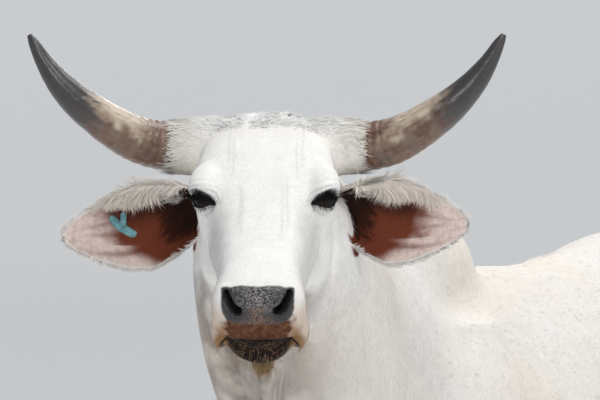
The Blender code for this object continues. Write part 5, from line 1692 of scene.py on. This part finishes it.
def make_eye(side, name, finish):
    """A dark eye: a level pupil in a brown iris, under a clear bulge."""
    centre, axes = eye_axes(side)
    points, faces = ellipsoid((0, 0, 0), (1, 1, 1), Matrix.Rotation(math.pi / 2, 3, "X"), 72, 48)
    angle = np.arccos(np.clip(-points[:, 1], -1, 1))
    points = points * (1, -1, 1)
    along, across = points[:, 0], points[:, 2]
    reach = EYE_RADIUS * (1 + 0.050 * np.exp(-((angle / 0.55) ** 4)))
    rays = np.stack([np.arctan2(across, along) * 3, angle * 0.6, 0 * angle], axis=1)
    fibre = layered_noise(rays, 0.12, 61)
    colour = np.tile(EYE_WHITE, (len(angle), 1))
    colour = mixed(colour, IRIS, step(0.78, 0.70, angle))
    colour = mixed(colour, IRIS_PALE, step(0.70, 0.6, angle) * np.clip(0.4 + 0.5 * fibre, 0, 1))
    pupil = np.hypot(along / 0.46, across / 0.24)
    colour = mixed(colour, BLACK, step(1.08, 0.98, pupil))
    made = object_of(name, (centre + (points * reach[:, None]) @ axes.T, faces))
    painted_near(made, points, colour, 1.0)
    return kept(made, finish, "eye", name)


def make_claw(name, foot, half, front, back, finish):
    """One half of a hoof, with the growth lines that run round its wall."""
    middle, length = (front + back) / 2, back - front
    rings = []
    corners = 64
    rows = through(CLAW, 40, [0])
    for share, forward, reach, width in rows:
        line = 1 + 0.010 * math.sin(share * 46) * (share < 0.92)
        ring = []
        for k in range(corners):
            angle = 2 * math.pi * k / corners
            toe = 1 - 0.24 * max(0.0, math.sin(angle))
            across = width * line * math.copysign(abs(math.cos(angle)) ** 0.8, math.cos(angle)) * toe
            y = middle - forward - math.sin(angle) * length * reach * line / 2
            top = CORONET_HEIGHT - CORONET_SLOPE * (y - front)
            x = foot + half * (CLAW_SPREAD + width * 0.98) + across
            ring.append((x, y, top * (1 - share)))
        rings.append(ring)
    points, faces = loft(rings)
    points = np.array(points)
    streak = layered_noise(points * (1, 1, 0.2), 0.004, 71)
    colour = mixed(np.tile(HOOF, (len(points), 1)), HOOF_PALE, np.clip(0.2 + 0.5 * streak, 0, 1))
    made = object_of(name, (points, faces))
    painted_near(made, points, colour, 0.0)
    return kept(made, finish, "hoof", name)


def make_feet(finish):
    for end, rows in (("fore", FORELEG), ("hind", HINDLEG)):
        for side, name in SIDES:
            foot = f"{end}_{name}"
            move = swing(foot, rows[-2][0])
            _, front, back, sideways, _ = rows[-2]
            for half, which in ((side, "outer"), (-side, "inner")):
                make_claw(f"{foot}_claw_{which}", side * sideways, half, front + move, back + move, finish)
    made = object_of("dewclaws", joined(list(dewclaws())))
    points = points_of(made.data)
    painted(made.data, np.tile(HOOF, (len(points), 1)), np.zeros(len(points)))
    kept(made, finish, "hoof")


def tag_strip(side, start, end, sag, width, rise):
    """A thin closed strip with rounded ends that lies on the ear."""
    lower, upper = [], []
    across = (end - start).normalized().orthogonal()
    for share in np.linspace(0, 1, 61):
        under, over = [], []
        blunt = (1 - abs(2 * share - 1) ** 5) ** 0.5
        for edge in np.linspace(-1, 1, 25):
            aside = edge * width / 2 * (0.40 + 0.60 * blunt) - sag * (1 - (2 * share - 1) ** 2)
            along, up = start.lerp(end, float(share)) + across * float(aside)
            t = along / EAR_LENGTH
            above, below, _, thick = ear_shape(t)
            v = up / (above if up > 0 else below)
            crown = (1 - abs(edge) ** 6) * min(1.0, 0.25 + blunt)
            clear = thick / 2 - 0.0006
            under.append(ear_point(side, t, v, clear))
            over.append(ear_point(side, t, v, clear + 0.0008 + rise * crown))
        lower.append(under)
        upper.append(over)
    return sheet_between(np.array(upper), np.array(lower))


def make_tag(side, finish):
    """A weathered plastic bar with a tab, pinned through the ear."""
    bar = tag_strip(side, TAG_FROM, TAG_TO, TAG_SAG, TAG_WIDTH, TAG_THICKNESS)
    tab = tag_strip(side, TAB_FROM, TAB_TO, 0.0, TAB_WIDTH, 0.75 * TAG_THICKNESS)
    made = object_of("ear_tag_bar", joined([bar, tab]))
    points = points_of(made.data)
    dirt = layered_noise(points, 0.007, 81)
    colour = mixed(np.tile(TEAL, (len(points), 1)), TEAL_DARK, np.clip(0.3 + 0.9 * dirt, 0, 1))
    grime = step(0.30, 0.90, dirt + 0.5 * smooth_noise(points, 0.0025, 82))
    colour = mixed(colour, DIRT, 0.75 * grime)
    painted(made.data, colour, np.zeros(len(points)))
    kept(made, finish, "tag", "ear_tag")


# Materials


def node_material(name, roughness):
    """A plain material, with its nodes and its shader for more detail."""
    made = bpy.data.materials.new(name)
    made.use_nodes = True
    tree = made.node_tree
    shader = tree.nodes["Principled BSDF"]
    shader.inputs["Roughness"].default_value = roughness
    return made, tree, shader


def coat_material(name, dull, wet, strength, stretch=(1.0, 0.45, 0.28), scale=420.0, shine=0.35):
    """A surface that reads its markings from the mesh: fine hair, and wet pebbled skin where it is bare."""
    made, tree, shader = node_material(name, dull)
    link = tree.links.new
    tint = tree.nodes.new("ShaderNodeAttribute")
    tint.attribute_name = "tint"
    bare = tree.nodes.new("ShaderNodeAttribute")
    bare.attribute_name = "bare"
    place = tree.nodes.new("ShaderNodeTexCoord")
    lie = tree.nodes.new("ShaderNodeMapping")
    lie.inputs["Scale"].default_value = stretch
    link(place.outputs["Object"], lie.inputs["Vector"])
    grain = tree.nodes.new("ShaderNodeTexNoise")
    grain.inputs["Scale"].default_value = scale
    grain.inputs["Detail"].default_value = 5.0
    link(lie.outputs["Vector"], grain.inputs["Vector"])
    blotch = tree.nodes.new("ShaderNodeTexNoise")
    blotch.inputs["Scale"].default_value = 38.0
    blotch.inputs["Detail"].default_value = 4.0
    link(place.outputs["Object"], blotch.inputs["Vector"])
    both = tree.nodes.new("ShaderNodeMath")
    both.operation = "MULTIPLY_ADD"
    both.inputs[1].default_value = 0.5
    link(blotch.outputs["Fac"], both.inputs[0])
    link(grain.outputs["Fac"], both.inputs[2])
    shade = tree.nodes.new("ShaderNodeMapRange")
    shade.inputs["From Min"].default_value = 0.35
    shade.inputs["From Max"].default_value = 1.15
    shade.inputs["To Min"].default_value = 0.84
    shade.inputs["To Max"].default_value = 1.10
    link(both.outputs["Value"], shade.inputs["Value"])
    blend = tree.nodes.new("ShaderNodeVectorMath")
    blend.operation = "SCALE"
    link(tint.outputs["Color"], blend.inputs[0])
    link(shade.outputs["Result"], blend.inputs["Scale"])
    link(blend.outputs["Vector"], shader.inputs["Base Color"])
    gloss = tree.nodes.new("ShaderNodeMapRange")
    gloss.inputs["To Min"].default_value = dull
    gloss.inputs["To Max"].default_value = wet
    link(bare.outputs["Fac"], gloss.inputs["Value"])
    link(gloss.outputs["Result"], shader.inputs["Roughness"])
    shader.inputs["Specular IOR Level"].default_value = shine
    pebble = tree.nodes.new("ShaderNodeTexVoronoi")
    pebble.inputs["Scale"].default_value = 430.0
    link(place.outputs["Object"], pebble.inputs["Vector"])
    height = tree.nodes.new("ShaderNodeMix")
    link(bare.outputs["Fac"], height.inputs["Factor"])
    link(grain.outputs["Fac"], height.inputs["A"])
    link(pebble.outputs["Distance"], height.inputs["B"])
    bump = tree.nodes.new("ShaderNodeBump")
    bump.inputs["Strength"].default_value = strength
    bump.inputs["Distance"].default_value = 0.0012
    bump.invert = True
    link(height.outputs["Result"], bump.inputs["Height"])
    link(bump.outputs["Normal"], shader.inputs["Normal"])
    return made


def plain_material(name, colour, roughness):
    made, _, shader = node_material(name, roughness)
    shader.inputs["Base Color"].default_value = (*colour, 1.0)
    return made


# The scene

SHIFT = np.array(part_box("eye_left")[0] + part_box("eye_left")[1]) / 2 - eye_axes(1)[0]


def kept(obj, finish, slot, *nodes):
    """Moves a finished piece into the part's frame and ties it to the part."""
    obj.data.transform(Matrix.Translation(SHIFT))
    obj.data.materials.clear()
    obj.data.materials.append(finish)
    obj.data.polygons.foreach_set("material_index", np.zeros(len(obj.data.polygons), np.int32))
    obj.data.shade_smooth()
    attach(obj, "root")
    if nodes:
        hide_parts(*nodes)
    return obj


def wet_parts(skin, unmoved, finish):
    """Gives the muzzle's bare pad a moister finish than the hair round it."""
    mesh = skin.data
    mesh.materials.append(finish)
    starts = np.empty(len(mesh.polygons), np.int32)
    mesh.polygons.foreach_get("loop_start", starts)
    corners = np.empty(len(mesh.loops), np.int32)
    mesh.loops.foreach_get("vertex_index", corners)
    bare = np.empty(len(mesh.vertices), np.float32)
    mesh.attributes["bare"].data.foreach_get("value", bare)
    wet = (bare > 0.6) & (in_head(points_of(unmoved.data))[:, 0] > 0.40)
    mesh.polygons.foreach_set("material_index", wet[corners[starts]].astype(np.int32))
    mesh.update()


def make_camera():
    data = bpy.data.cameras.new("camera")
    data.lens = CAMERA_LENS
    data.sensor_width = 36.0
    made = bpy.data.objects.new("camera", data)
    bpy.context.scene.collection.objects.link(made)
    ahead = Vector((-math.sin(CAMERA_TURN), math.cos(CAMERA_TURN), 0.0))
    aside = Vector((math.cos(CAMERA_TURN), math.sin(CAMERA_TURN), 0.0))
    place = Vector((POLL.x, POLL.y, CAMERA_HEIGHT)) - CAMERA_DISTANCE * ahead + CAMERA_ASIDE * aside
    made.location = place + Vector(SHIFT)
    look = ahead * math.cos(CAMERA_PITCH) - Vector((0, 0, math.sin(CAMERA_PITCH)))
    made.rotation_mode = "QUATERNION"
    made.rotation_quaternion = look.to_track_quat("-Z", "Y")
    bpy.context.scene.camera = made


def make_light(name, place, size, power, colour=(1, 1, 1)):
    data = bpy.data.lights.new(name, "AREA")
    data.size = size
    data.energy = power
    data.color = colour
    made = bpy.data.objects.new(name, data)
    bpy.context.scene.collection.objects.link(made)
    made.location = place
    made.rotation_mode = "QUATERNION"
    made.rotation_quaternion = (Vector((0, -0.4, 0.9)) - Vector(place)).to_track_quat("-Z", "Y")
    made.visible_camera = False


def make_stage():
    """A pale floor that rises far out into a bowl, so that no horizon shows."""
    rings = [(0.0, 0.0)] + [(r, 0.0) for r in (2, 5, 10, 20, 30)]
    rings += [(30 + 12 * math.sin(a), 12 - 12 * math.cos(a)) for a in np.linspace(0.15, 1.57, 12)]
    corners = 96
    points = [(0.0, 0.0, 0.0)]
    for radius, height in rings[1:]:
        for k in range(corners):
            angle = 2 * math.pi * k / corners
            points.append((radius * math.cos(angle), radius * math.sin(angle), height))
    faces = [(0, 1 + k, 1 + (k + 1) % corners) for k in range(corners)]
    for i in range(len(rings) - 2):
        for k in range(corners):
            a, b = 1 + i * corners + k, 1 + i * corners + (k + 1) % corners
            faces.append((a, a + corners, b + corners, b))
    mesh = bpy.data.meshes.new("floor")
    mesh.from_pydata(points, [], faces)
    mesh.shade_smooth()
    floor = bpy.data.objects.new("floor", mesh)
    bpy.context.scene.collection.objects.link(floor)
    finish = plain_material("floor", (0.90, 0.90, 0.89), 0.9)
    glow = finish.node_tree.nodes["Principled BSDF"].inputs
    glow["Emission Color"].default_value = (0.97, 0.985, 1.0, 1.0)
    glow["Emission Strength"].default_value = 0.24
    mesh.materials.append(finish)


FLESH = ["torso", "neck", "head", "ear_left", "ear_right", "tail", "udder"]
for foot in STANCE:
    FLESH += [f"{foot}_{'forearm' if foot[0] == 'f' else 'gaskin'}", f"{foot}_shank"]

make_camera()
make_stage()
world = bpy.data.worlds.new("world")
bpy.context.scene.world = world
world.use_nodes = True
world.node_tree.nodes["Background"].inputs["Color"].default_value = (0.86, 0.90, 0.95, 1)
world.node_tree.nodes["Background"].inputs["Strength"].default_value = 0.36
bpy.context.scene.view_settings.view_transform = "Standard"
make_light("key", (2.6, -3.4, 5.6), 2.0, 82, (1.0, 0.98, 0.955))
make_light("side", (5.0, -1.4, 2.2), 2.6, 17, (1.0, 0.985, 0.965))
make_light("top", (0.6, 0.8, 5.4), 3.2, 132)
make_light("back", (-1.5, 5.5, 3.6), 2.5, 75)
make_light("catch", (1.15, -4.5, 2.9), 0.35, 22)

coat = coat_material("coat", 0.78, 0.42, 0.45, shine=0.12)
hide = coat_material("hide", 0.70, 0.27, 0.85, shine=0.5)
fluff = coat_material("fluff", 0.70, 0.70, 0.0, shine=0.2)
hair = coat_material("switch", 0.5, 0.5, 0.1)
horn = coat_material("horn", 0.30, 0.30, 0.30, (0.35, 1.0, 0.35), 300.0, 0.5)
hoof = coat_material("hoof", 0.55, 0.55, 0.3, (1.0, 1.0, 0.2))
eye = coat_material("eye", 0.04, 0.04, 0.0, shine=0.14)
plastic = coat_material("tag", 0.42, 0.42, 0.15, (1.0, 1.0, 1.0), 160.0)
skin = shaped(joined_skin())
skin_guide = copy_of(skin, "skin_guide")
kept(skin, coat, "coat", *FLESH)
wet_parts(skin, skin_guide, hide)

guide = coat_guide(skin_guide)
body_coat(skin_guide, guide, fluff)
head_hair(skin_guide, guide, fluff, coat)
ear_hair(skin_guide, guide, fluff, coat)
switch_hair(guide, hair)
for side, name in SIDES:
    make_horn(side, "horn_" + name, horn)
    make_eye(side, "eye_" + name, eye)
make_feet(hoof)
make_tag(-1, plastic)
discard(skin_guide)
